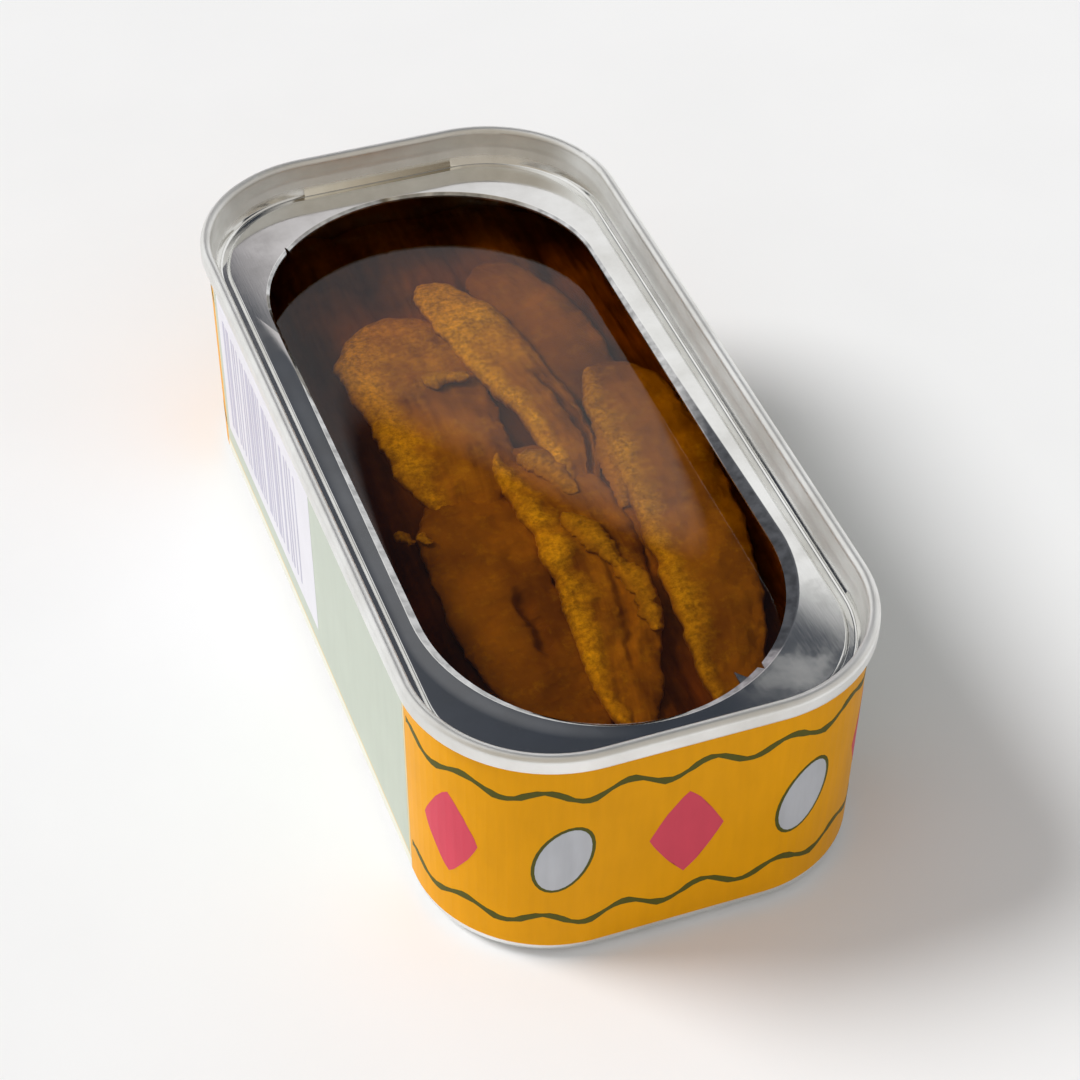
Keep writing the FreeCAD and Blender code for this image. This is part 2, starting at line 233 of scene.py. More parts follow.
leftness = add(sky, "ShaderNodeMath", {0: toward["X"], 1: -0.20, 2: 0.47}, operation="MULTIPLY_ADD")
nearness = add(sky, "ShaderNodeMath", {0: toward["Y"], 1: -0.28, 2: leftness}, operation="MULTIPLY_ADD")
matt_light = add(sky, "ShaderNodeCombineColor", {0: nearness, 1: nearness, 2: nearness})
gloss_or_matt = add(sky, "ShaderNodeMix", {
    0: ray["Is Glossy Ray"], 6: matt_light, 7: mirrored}, data_type="RGBA")
seen = add(sky, "ShaderNodeMath", {
    0: ray["Is Camera Ray"], 1: ray["Is Transmission Ray"]}, operation="MAXIMUM")
shown = add(sky, "ShaderNodeMix", {0: seen, 6: gloss_or_matt, 7: (0.92, 0.92, 0.92, 1)}, data_type="RGBA")
glow = add(sky, "ShaderNodeBackground", {"Color": shown, "Strength": 1.0})
add(sky, "ShaderNodeOutputWorld", {"Surface": glow})
print("lamp from", [round(v, 3) for v in LIGHT_FROM])

# %% [markdown]
# ## Bare aluminium
# The body and the lid are thin bright aluminium sheet. Rolling leaves the sheet nearly a mirror with very
# fine lines along it, and handling adds faint smears. So the metal is full metallic with low roughness,
# which rises where it is smeared, and a slight bump lets the reflections waver. The pieces themselves are
# the construction model's, whose shape is right, so only their material is given here.

# %% Aluminium finish
def bright_aluminium(name, shine, waver, folded_above=None):
    """Bright rolled aluminium sheet. shine is its roughness, waver the depth of its bump.

    Where the sheet was folded and rolled flat, above a height in millimetres, it is duller.
    """
    material, tree, metal = new_finish(name, {"Metallic": 1.0})
    place = add(tree, "ShaderNodeTexCoord").outputs["Object"]
    # Rolling lines, 0.1 mm wide and 2 mm long, and smears about 7 mm wide.
    rolled = add(tree, "ShaderNodeMapping", {"Vector": place, "Scale": (9.0, 0.5, 3.0)})
    lines = add(tree, "ShaderNodeTexNoise", {"Vector": rolled, "Scale": 1.0 / MM, "Detail": 3.0})
    smears = add(tree, "ShaderNodeTexNoise", {
        "Vector": place, "Scale": 0.14 / MM, "Detail": 5.0, "Roughness": 0.6})
    smear = add(tree, "ShaderNodeMapRange", {
        "Value": smears, "From Min": 0.45, "From Max": 0.75, "To Min": shine, "To Max": shine + 0.07})
    fine = add(tree, "ShaderNodeMath", {0: lines, 1: 0.04, 2: smear}, operation="MULTIPLY_ADD")
    dull = fine.outputs[0]
    if folded_above:
        height_here = add(tree, "ShaderNodeSeparateXYZ", {0: place})
        folded = add(tree, "ShaderNodeMapRange", {
            "Value": height_here.outputs["Z"], "From Min": folded_above * MM,
            "From Max": (folded_above + 0.8) * MM, "To Max": 0.36})
        # Fingers and the pull tab have brushed the deck's near right corner dull.
        from_corner = add(tree, "ShaderNodeVectorMath", {
            0: place, 1: (14.5 * MM, -45.5 * MM, DECK_TOP * MM)}, operation="DISTANCE")
        in_patch = add(tree, "ShaderNodeMapRange", {
            "Value": from_corner, "From Min": 8.0 * MM, "From Max": 1.0 * MM})
        brushing = add(tree, "ShaderNodeMapRange", {
            "Value": smears, "From Min": 0.36, "From Max": 0.70, "To Max": 0.12})
        brushed = add(tree, "ShaderNodeMath", {
            0: in_patch, 1: brushing, 2: folded}, operation="MULTIPLY_ADD")
        # Inside the groove the only metal below the deck is the torn lip. It is coloured a darker grey:
        # grain along the score, and painted shade in the groove.
        mirrored_place = add(tree, "ShaderNodeVectorMath", {0: place}, operation="ABSOLUTE")
        past_straight = add(tree, "ShaderNodeVectorMath", {
            0: mirrored_place, 1: (STRAIGHT_X * MM, STRAIGHT_Y * MM, 1.0)}, operation="SUBTRACT")
        past_only = add(tree, "ShaderNodeVectorMath", {0: past_straight, 1: (0, 0, 0)}, operation="MAXIMUM")
        from_straight = add(tree, "ShaderNodeVectorMath", {0: past_only}, operation="LENGTH")
        within = add(tree, "ShaderNodeMath", {
            0: from_straight, 1: (CORNER_RADIUS - 3.2) * MM}, operation="LESS_THAN")
        sunk = add(tree, "ShaderNodeMapRange", {
            "Value": height_here.outputs["Z"], "From Min": (DECK_TOP - 0.01) * MM,
            "From Max": (DECK_TOP - 0.05) * MM})
        on_lip = add(tree, "ShaderNodeMath", {0: within, 1: sunk}, operation="MULTIPLY")
        dull = add(tree, "ShaderNodeMath", {0: fine, 1: brushed}, operation="ADD").outputs[0]
    tree.links.new(dull, metal.inputs["Roughness"])
    tint = add(
        tree, "ShaderNodeValToRGB", {"Fac": smears},
        stops=[(0.35, linear("#F0F0EE")), (0.75, linear("#DDDCD8"))],
    )
    colour = tint.outputs["Color"]
    if folded_above:
        # Along the score where the panel tore off, the lip is grainy, with grains of about 1.4 mm, in a grey
        # kept dark as painted shade in the groove.
        scored = add(tree, "ShaderNodeTexNoise", {"Vector": place, "Scale": 0.7 / MM, "Detail": 3.0})
        scored_tone = add(tree, "ShaderNodeMapRange", {
            "Value": scored, "From Min": 0.35, "From Max": 0.65, "To Min": 0.36, "To Max": 0.66})
        scored_and_shaded_lip_colour = add(tree, "ShaderNodeCombineColor", {0: scored_tone, 1: scored_tone, 2: scored_tone})
        colour = add(tree, "ShaderNodeMix", {
            0: on_lip, 6: tint, 7: scored_and_shaded_lip_colour}, data_type="RGBA").outputs[2]
    tree.links.new(colour, metal.inputs["Base Color"])
    # The sheet isn't quite flat: it swells over about 17 mm, by one or two hundredths of a millimetre.
    waves = add(tree, "ShaderNodeTexNoise", {"Vector": place, "Scale": 0.06 / MM, "Detail": 2.0})
    height = add(tree, "ShaderNodeMath", {0: lines, 1: 0.03, 2: waves}, operation="MULTIPLY_ADD")
    bump = add(tree, "ShaderNodeBump", {"Height": height, "Strength": 1.0, "Distance": waver * MM})
    facing = bump
    if folded_above:
        # Tearing the panel away has drawn the deck's edge up a little at the near left of the opening.
        off_ends = add(tree, "ShaderNodeVectorMath", {
            0: mirrored_place, 1: (0, OPENING_STRAIGHT * MM, 1.0)}, operation="SUBTRACT")
        off_ends_only = add(tree, "ShaderNodeVectorMath", {0: off_ends, 1: (0, 0, 0)}, operation="MAXIMUM")
        shares = add(tree, "ShaderNodeVectorMath", {
            0: off_ends_only, 1: (1 / (OPENING_HALF * MM), 1 / (OPENING_REACH * MM), 0),
        }, operation="MULTIPLY")
        out_from_middle = add(tree, "ShaderNodeVectorMath", {0: shares}, operation="LENGTH")
        drawn_up = add(tree, "ShaderNodeMapRange", {
            "Value": out_from_middle, "From Min": 1.13, "From Max": 1.0}, interpolation_type="SMOOTHSTEP")
        to_near_left = add(tree, "ShaderNodeVectorMath", {
            0: place, 1: (-1.0, -0.4, 0)}, operation="DOT_PRODUCT")
        at_near_left = add(tree, "ShaderNodeMapRange", {
            "Value": to_near_left, "From Min": 10.0 * MM, "From Max": 26.0 * MM})
        drawn_up_there = add(tree, "ShaderNodeMath", {0: drawn_up, 1: at_near_left}, operation="MULTIPLY")
        facing = add(tree, "ShaderNodeBump", {
            "Height": drawn_up_there, "Strength": 1.0, "Distance": 0.28 * MM, "Normal": bump})
    tree.links.new(facing.outputs[0], metal.inputs["Normal"])
    return material


def dress(node, material):
    """Puts one material in every slot of a carried-over piece."""
    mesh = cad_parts[node].data
    if not mesh.materials:
        mesh.materials.append(material)
    for slot in range(len(mesh.materials)):
        mesh.materials[slot] = material


lid_metal = bright_aluminium("bright_rolled_aluminium_lid", 0.03, 0.012, DECK_TOP + 0.3)
body_metal = bright_aluminium("bright_rolled_aluminium_body", 0.10, 0.02)
dress("lid_ring", lid_metal)
dress("tin_body", body_metal)
print("aluminium on lid_ring and tin_body")

# %% [markdown]
# ## The printed wall
# The wall is printed on the flat sheet before the tin is drawn. It is easiest to draw the same way: as
# flat shapes, with the distance round the tin as one axis and the height as the other. A Geometry Nodes
# tree then wraps each flat shape on the wall: it looks up the place and direction on the tin's outline at
# that distance, moves in by the wall's lean at that height, and thickens the shape into a thin closed
# film.

# %% The tin's outline as a line to follow
def rim_outline(inset, arc_steps=48):
    """The rim's outline moved in by inset, from the middle of the near end and anticlockwise."""
    radius = CORNER_RADIUS - inset
    points = [(0.0, -RIM_LENGTH / 2 + inset)]
    for turn, (cx, cy) in enumerate(((1, -1), (1, 1), (-1, 1), (-1, -1))):
        for step in range(arc_steps + 1):
            angle = (turn - 1) * pi / 2 + step / arc_steps * pi / 2
            points.append((cx * STRAIGHT_X + radius * cos(angle), cy * STRAIGHT_Y + radius * sin(angle)))
    return points


def outline_object():
    """The outline as a closed mesh line, in metres."""
    points = rim_outline(0)
    mesh = bpy.data.meshes.new("rim_outline")
    count = len(points)
    mesh.from_pydata(
        [(x * MM, y * MM, 0) for x, y in points], [(i, (i + 1) % count) for i in range(count)], []
    )
    return bpy.data.objects.new("rim_outline", mesh)


rim_line = outline_object()
scene.collection.objects.link(rim_line)
AROUND = 4 * STRAIGHT_X + 4 * STRAIGHT_Y + 2 * pi * CORNER_RADIUS
print("distance round the rim, mm:", round(AROUND, 1))

# %% Trees and modifiers
def new_tree(name, sizes):
    """A Geometry Nodes tree with geometry in and out and the named inputs."""
    tree = bpy.data.node_groups.new(name, "GeometryNodeTree")
    tree.interface.new_socket(name="Geometry", in_out="INPUT", socket_type="NodeSocketGeometry")
    for title, kind in sizes:
        tree.interface.new_socket(name=title, in_out="INPUT", socket_type="NodeSocket" + kind)
    tree.interface.new_socket(name="Geometry", in_out="OUTPUT", socket_type="NodeSocketGeometry")
    return tree


def grown(name, start, tree, sizes):
    """Runs a tree on a starting mesh and keeps the result as a plain mesh piece on the tin."""
    host = bpy.data.objects.new(name + "_start", start)
    scene.collection.objects.link(host)
    modifier = host.modifiers.new("grow", "NODES")
    modifier.node_group = tree
    for item in tree.interface.items_tree:
        if item.in_out == "INPUT" and item.name in sizes:
            modifier[item.identifier] = sizes[item.name]
    graph = bpy.context.evaluated_depsgraph_get()
    mesh = bpy.data.meshes.new_from_object(host.evaluated_get(graph), depsgraph=graph)
    bpy.data.objects.remove(host)
    mesh.name = name
    piece = bpy.data.objects.new(name, mesh)
    scene.collection.objects.link(piece)
    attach(piece, "root")
    print(name, "triangles", sum(len(p.vertices) - 2 for p in mesh.polygons))
    return piece


# %% The tree that wraps a flat shape on the wall
def wrap_tree():
    """Bends a flat shape (distance round the tin, height) on the leaning wall and thickens it."""
    lengths = ("Foot inset", "Head inset", "Foot height", "Head height", "Stand-off", "Film")
    sizes = [("Outline", "Object"), *[(name, "Float") for name in lengths], ("Finish", "Material")]
    tree = new_tree("wrap_on_wall", sizes)
    given = add(tree, "NodeGroupInput").outputs
    rim = add(tree, "GeometryNodeObjectInfo", {"Object": given["Outline"]})
    rim_curve = add(tree, "GeometryNodeMeshToCurve", {"Mesh": rim.outputs["Geometry"]})
    total = add(tree, "GeometryNodeCurveLength", {"Curve": rim_curve})
    place = add(tree, "GeometryNodeInputPosition")
    flat = add(tree, "ShaderNodeSeparateXYZ", {0: place}).outputs
    kept = add(tree, "GeometryNodeStoreNamedAttribute", {
        "Geometry": given["Geometry"], "Name": "flat", "Value": place}, data_type="FLOAT_VECTOR")
    distance = add(tree, "ShaderNodeMath", {0: flat["X"], 1: total}, operation="FLOORED_MODULO")
    look = add(tree, "GeometryNodeSampleCurve", {
        "Curves": rim_curve, "Length": distance}, mode="LENGTH").outputs
    outwards = add(tree, "ShaderNodeVectorMath", {
        0: look["Tangent"], 1: (0, 0, 1)}, operation="CROSS_PRODUCT")
    lean = add(tree, "ShaderNodeMapRange", {
        "Value": flat["Y"], "From Min": given["Foot height"], "From Max": given["Head height"],
        "To Min": given["Foot inset"], "To Max": given["Head inset"]}, clamp=False)
    shift = add(tree, "ShaderNodeMath", {0: given["Stand-off"], 1: lean}, operation="SUBTRACT")
    step = add(tree, "ShaderNodeVectorMath", {0: outwards, "Scale": shift}, operation="SCALE")
    height = add(tree, "ShaderNodeCombineXYZ", {"Z": flat["Y"]})
    foot = add(tree, "ShaderNodeVectorMath", {0: look["Position"], 1: step}, operation="ADD")
    goal = add(tree, "ShaderNodeVectorMath", {0: foot, 1: height}, operation="ADD")
    bent = add(tree, "GeometryNodeSetPosition", {"Geometry": kept, "Position": goal})
    thick = add(tree, "GeometryNodeExtrudeMesh", {
        "Mesh": bent, "Offset Scale": given["Film"], "Individual": False})
    back = add(tree, "GeometryNodeFlipFaces", {"Mesh": bent})
    both = add(tree, "GeometryNodeJoinGeometry")
    tree.links.new(thick.outputs["Mesh"], both.inputs[0])
    tree.links.new(back.outputs[0], both.inputs[0])
    closed = add(tree, "GeometryNodeMergeByDistance", {"Geometry": both, "Distance": 0.000001})
    plain = add(tree, "GeometryNodeRealizeInstances", {"Geometry": closed})
    dressed = add(tree, "GeometryNodeSetMaterial", {"Geometry": plain, "Material": given["Finish"]})
    add(tree, "NodeGroupOutput", {"Geometry": dressed})
    return tree


wall_wrap = wrap_tree()
print("wrap tree has", len(wall_wrap.nodes), "nodes")

# %% [markdown]
# The flat shapes are outlines filled with faces. Where a shape crosses a rounded corner of the tin it has
# to bend, so each one is cut into narrow upright strips first. Every colour is a piece of its own, and
# each lies a few hundredths of a millimetre further out than the one below, as inks do.

# %% Flat shapes
def flat_shapes(name, outlines, strip=1.2):
    """Filled outlines of (distance, height) in millimetres, cut into upright strips."""
    work = bmesh.new()
    for outline in outlines:
        # A long band is filled across, step by step, and a small shape is one face until it is cut up.
        half = len(outline) // 2
        corners = [work.verts.new((u * MM, z * MM, 0)) for u, z in outline]
        if half > 40:
            for k in range(half - 1):
                work.faces.new((corners[k], corners[k + 1], corners[-k - 2], corners[-k - 1]))
        else:
            work.faces.new(corners)
    bmesh.ops.triangulate(work, faces=work.faces[:], ngon_method="EAR_CLIP")
    work.normal_update()
    bmesh.ops.reverse_faces(work, faces=[f for f in work.faces if f.normal.z < 0])
    low = min(u for outline in outlines for u, z in outline)
    high = max(u for outline in outlines for u, z in outline)
    for cut in range(1, int((high - low) / strip) + 1):
        everything = work.verts[:] + work.edges[:] + work.faces[:]
        bmesh.ops.bisect_plane(
            work, geom=everything, plane_co=((low + cut * strip) * MM, 0, 0), plane_no=(1, 0, 0), dist=1e-7,
        )
    mesh = bpy.data.meshes.new(name)
    work.to_mesh(mesh)
    work.free()
    return mesh


def block(u0, u1, z0, z1):
    """An upright rectangle."""
    return [(u0, z0), (u1, z0), (u1, z1), (u0, z1)]


def printed(name, outlines, finish, layer):
    """One ink on the wall. layer is how many inks lie below it."""
    sizes = {"Outline": rim_line, "Foot inset": FOOT_INSET * MM, "Head inset": HEAD_INSET * MM}
    sizes |= {"Foot height": HEEL_RADIUS * MM, "Head height": SEAM_FOOT * MM, "Film": 0.03 * MM}
    sizes |= {"Stand-off": (0.01 + 0.02 * layer) * MM, "Finish": finish}
    return grown(name, flat_shapes(name, outlines), wall_wrap, sizes)


# %% [markdown]
# ## Printing ink under lacquer
# The inks are opaque and lie under a clear baked lacquer. Up close the ground isn't one flat tone: rollers
# leave soft streaks and the lacquer a fine orange-peel. The base colour wanders a little, the clear coat
# carries a small bump, and the gloss stays soft.

# %% Ink finish
def lacquered_ink(name, hex_code, depth=0.05):
    """A printed ink under lacquer. depth is how far its tone wanders."""
    gloss = {"Roughness": 0.42, "IOR": 1.5, "Specular IOR Level": 0.06}
    gloss |= {"Coat Weight": 0.04, "Coat Roughness": 0.18}
    material, tree, ink = new_finish(name, gloss)
    flat = add(tree, "ShaderNodeAttribute", attribute_name="flat").outputs["Vector"]
    # Roller streaks, 1.4 mm wide and 10 mm tall, over clouds of 8 mm.
    stretched = add(tree, "ShaderNodeMapping", {"Vector": flat, "Scale": (1.0, 0.15, 1.0)})
    streaks = add(tree, "ShaderNodeTexNoise", {"Vector": stretched, "Scale": 0.7 / MM, "Detail": 4.0})
    clouds = add(tree, "ShaderNodeTexNoise", {"Vector": flat, "Scale": 0.12 / MM, "Detail": 3.0})
    mixed = add(tree, "ShaderNodeMath", {0: streaks, 1: clouds}, operation="ADD")
    level = add(tree, "ShaderNodeMapRange", {
        "Value": mixed, "From Min": 0.7, "From Max": 1.3, "To Min": 1 - depth, "To Max": 1 + depth})
    toned = add(tree, "ShaderNodeHueSaturation", {"Color": linear(hex_code), "Value": level})
    tree.links.new(toned.outputs[0], ink.inputs["Base Color"])
    # The lacquer's peel is finer than this on the real tin: 1.1 mm is as fine as shows.
    peel = add(tree, "ShaderNodeTexNoise", {"Vector": flat, "Scale": 0.9 / MM, "Detail": 2.0})
    bump = add(tree, "ShaderNodeBump", {"Height": peel, "Distance": 0.008 * MM})
    tree.links.new(bump.outputs[0], ink.inputs["Normal"])
    tree.links.new(bump.outputs[0], ink.inputs["Coat Normal"])
    return material


amber_ink = lacquered_ink("amber_ink_under_lacquer", "#E39C00")
mint_ink = lacquered_ink("pale_green_ink_under_lacquer", "#B9C0B3", 0.03)
white_ink = lacquered_ink("white_ink_under_lacquer", "#DAD8DE", 0.03)
bar_ink = lacquered_ink("grey_lilac_ink_under_lacquer", "#B9B6C6", 0.04)
tan_ink = lacquered_ink("tan_ink_under_lacquer", "#D9C79A", 0.04)
cream_ink = lacquered_ink("cream_ink_under_lacquer", "#DEDDD0", 0.03)
olive_ink = lacquered_ink("olive_ink_under_lacquer", "#54531F", 0.08)
rose_ink = lacquered_ink("rose_red_ink_under_lacquer", "#D14A5C", 0.05)
grey_ink = lacquered_ink("pale_grey_ink_under_lacquer", "#B9BBC0", 0.08)
print("nine inks")

# %% [markdown]
# The ends and corners carry a warm amber ground with a band of plain motifs: rose lozenges and grey ovals
# in turn, between two uneven wavy lines in olive. The long sides carry a pale green panel with a thin tan
# edge, and one of them a white field with upright bars. Positions round the tin are counted from the middle
# of the near end, and run negative to the left.

# %% Motif outlines
hand = Random(7)


def wobble(size):
    """A small uneven step, as a hand makes."""
    return hand.uniform(-size, size)


def lozenge(u, z, half_u, half_z, steps=32):
    """A four-cornered motif with slightly full sides."""
    points = []
    for k in range(steps):
        across, up = cos(2 * pi * k / steps), sin(2 * pi * k / steps)
        reach = 1 / (abs(across) ** 1.15 + abs(up) ** 1.15) ** (1 / 1.15)
        points.append((u + half_u * reach * across + wobble(0.08), z + half_z * reach * up + wobble(0.08)))
    return points


def oval(u, z, half_u, half_z, steps=28):
    """A leaning oval."""
    turns = [2 * pi * k / steps for k in range(steps)]
    return [(u + half_u * cos(turn) + 0.25 * half_z * sin(turn), z + half_z * sin(turn)) for turn in turns]


def wave_line(u0, u1, z, swing, pitch, width):
    """A band that waves up and down, a little uneven in width."""
    steps = int((u1 - u0) / 0.8)
    upper, lower = [], []
    for k in range(steps + 1):
        u = u0 + (u1 - u0) * k / steps
        middle = z + swing * sin(2 * pi * u / pitch) + 0.12 * sin(u * 0.83)
        half = width / 2 * (1 + 0.25 * sin(u * 1.7) + 0.1 * sin(u * 4.1))
        upper.append((u, middle + half))
        lower.append((u, middle - half))
    return lower + upper[::-1]


# %% Print the wall
SIDE_FROM = 36.1
SIDE_TO = 107.6
PRINT_LOW = 1.95
PRINT_HIGH = SEAM_FOOT - 0.15
PANEL_LOW = 3.9
PANEL_EDGE = 0.5
MOTIF_MIDDLE = 15.6
MOTIF_PITCH = 13.5
WAVE_REACH = 34.9
WAVE_HEIGHTS = (6.2, 25.2)
printed("print_ground", [block(0, AROUND, PRINT_LOW, PRINT_HIGH)], amber_ink, 0)

lines = []
panels = []
margins = []
for side in (-1, 1):
    u0, u1 = sorted((side * SIDE_FROM, side * SIDE_TO))
    lines.append(block(u0 - PANEL_EDGE, u1 + PANEL_EDGE, PANEL_LOW - PANEL_EDGE, PRINT_HIGH))
    panels.append(block(u0, u1, PANEL_LOW, PRINT_HIGH))
    margins.append(block(u0 - PANEL_EDGE, u1 + PANEL_EDGE, PRINT_LOW, PANEL_LOW - PANEL_EDGE))
printed("print_panel_edges", lines, tan_ink, 1)
printed("print_panel_margins", margins, cream_ink, 1)
printed("print_side_panels", panels, mint_ink, 2)
printed("print_side_field", [block(-106.5, -69.0, 6.3, PRINT_HIGH)], white_ink, 3)

BARS_FROM = -104.5
BARS_TO = -74.5
bars = []
u = BARS_FROM
while u < BARS_TO:
    width = hand.choice((0.45, 0.45, 0.8, 1.2))
    bars.append(block(u, u + width, 8.3, 24.6))
    u += width + hand.choice((0.5, 0.8, 1.1))
printed("print_side_bars", bars, bar_ink, 4)

motif_u = [MOTIF_PITCH * k for k in range(-2, 3)]
far_u = [u + AROUND / 2 for u in motif_u]
lozenges = [lozenge(u, MOTIF_MIDDLE, 4.0, 6.2) for u in motif_u[::2] + far_u[::2]]
ovals = [oval(u, MOTIF_MIDDLE, 2.9, 4.6) for u in motif_u[1::2] + far_u[1::2]]
ovals_edge = [oval(u, MOTIF_MIDDLE, 3.3, 5.0) for u in motif_u[1::2] + far_u[1::2]]
waves = []
for start in (-WAVE_REACH, AROUND / 2 - WAVE_REACH):
    waves += [wave_line(start, start + 2 * WAVE_REACH, z, 0.8, 9.0, 0.8) for z in WAVE_HEIGHTS]
printed("print_waves", waves, olive_ink, 1)
printed("print_oval_edges", ovals_edge, olive_ink, 1)
printed("print_ovals", ovals, grey_ink, 2)
printed("print_lozenges", lozenges, rose_ink, 1)

# %% [markdown]
# ## Cured anchovy
# The fillets have lain in salt for months and then in oil: brown, a little translucent, with a fine grain
# along their length. Where an edge is torn or rubbed the flesh is paler and golden, and crumbles into small
# grains. The same golden tone is also laid on the raised rim along each fillet's left edge, the side that
# faces the lamp, and over the tops of the flakes: there it is painted highlight as well as rubbed flesh. The
# material follows the fillet, not the room: the tree below leaves two values on each point, how far it lies
# along the fillet and how far to which side, and a third that says how much rubbing and painted highlight it
# has. Oil covers the flesh, so it shines hardly at all by itself: its roughness is high and its specular
# level low.

# %% Fillet finish
def cured_flesh(name, body, deep, edge, grain_depth=1.0, rub_and_highlight_share=1.0):
    """Oil-cured fish. body and deep are its browns, edge the golden tone of rubbed flesh and of the painted
    highlight on the lit rims.
    """
    material, tree, flesh = new_finish(name, {"Roughness": 0.45, "IOR": 1.45, "Specular IOR Level": 0.05})
    place = add(tree, "ShaderNodeTexCoord").outputs["Object"]
    lie = add(tree, "ShaderNodeAttribute", attribute_name="lie").outputs["Vector"]
    rubbed = add(tree, "ShaderNodeAttribute", attribute_name="rubbed").outputs["Fac"]

    # Browns: soft clouds of 9 mm, and under them faint fibres, 1.1 mm wide, that run with the fillet.
    along = add(tree, "ShaderNodeMapping", {"Vector": lie, "Scale": (0.10, 1.0, 1.0)})
    grain = add(tree, "ShaderNodeTexNoise", {
        "Vector": along, "Scale": 0.9 / MM, "Detail": 5.0, "Roughness": 0.55})
    clouds = add(tree, "ShaderNodeTexNoise", {
        "Vector": place, "Scale": 0.11 / MM, "Detail": 4.0, "Roughness": 0.5})
    both = add(tree, "ShaderNodeMath", {
        0: grain, 1: 0.45 * grain_depth, 2: clouds}, operation="MULTIPLY_ADD")
    low = 0.30 + 0.225 * grain_depth
    browns = add(
        tree, "ShaderNodeValToRGB", {"Fac": both}, stops=[(low, linear(deep)), (low + 0.40, linear(body))],
    )

    # Gold, for rubbed flesh and for the painted highlight on the lit rims: ragged at its edge, over about
    # 2.4 mm, with dark specks of 0.8 mm between the grains.
    specks = add(tree, "ShaderNodeTexNoise", {
        "Vector": place, "Scale": 1.3 / MM, "Detail": 4.0, "Roughness": 0.75})
    speck_tone = add(tree, "ShaderNodeMapRange", {
        "Value": specks, "From Min": 0.38, "From Max": 0.62, "To Min": 0.46, "To Max": 1.08})
    gold_rub_and_highlight = add(tree, "ShaderNodeHueSaturation", {"Color": linear(edge), "Value": speck_tone})
    torn = add(tree, "ShaderNodeTexNoise", {
        "Vector": place, "Scale": 0.42 / MM, "Detail": 4.0, "Roughness": 0.7})
    pushed = add(tree, "ShaderNodeMath", {0: torn, 1: 1.3, 2: rubbed}, operation="MULTIPLY_ADD")
    gold_rub_and_highlight_mask = add(tree, "ShaderNodeMapRange", {
        "Value": pushed, "From Min": 0.66, "From Max": 1.60, "To Max": rub_and_highlight_share})
    skin = add(tree, "ShaderNodeMix", {0: gold_rub_and_highlight_mask, 6: browns, 7: gold_rub_and_highlight}, data_type="RGBA")
    tree.links.new(skin.outputs[2], flesh.inputs["Base Color"])
    rough = add(tree, "ShaderNodeMath", {0: grain, 1: specks}, operation="ADD")
    bump = add(tree, "ShaderNodeBump", {"Height": rough, "Distance": 0.08 * MM})
    tree.links.new(bump.outputs[0], flesh.inputs["Normal"])
    return material


fillet_flesh = cured_flesh("oil_cured_anchovy", "#A26A24", "#5E3414", "#DCA41A", 1.0, 0.82)
flake_flesh = cured_flesh("oil_cured_anchovy_flakes", "#A0681E", "#5E3A12", "#C08C1C", 1.0, 0.5)
smooth_flesh = cured_flesh("oil_cured_anchovy_skin_side", "#96601A", "#663C12", "#C08E1E", 0.3)
# The fish below is a darker copy of the same flesh: painted shade for the fillets that lie deep under the
# top ones.
shaded_flesh_below = cured_flesh("oil_cured_anchovy_below_painted_shade", "#8C5424", "#522F14", "#A87226", 1.0, 0.6)

# %% [markdown]
# ## One fillet
# A fillet is a flat strip that follows a line from head to tail: blunt at the head, full at the shoulder,
# slim at the tail. That is a sweep whose width changes along the way. Sculpting each one would be slow
# and would never match its neighbours in kind, so one tree makes them all: it smooths a rough line,
# sweeps a round profile along it, presses that flat, raises the torn rim on one side, cuts the slit, and
# roughens the surface with fibres along the flesh and crumbs where it is rubbed.

# %% The fillet tree
BREADTH = [(0.0, 0.12), (0.025, 0.42), (0.09, 0.78), (0.24, 1.0), (0.5, 0.96), (0.78, 0.78)]
BREADTH += [(0.93, 0.52), (0.985, 0.30), (1.0, 0.08)]


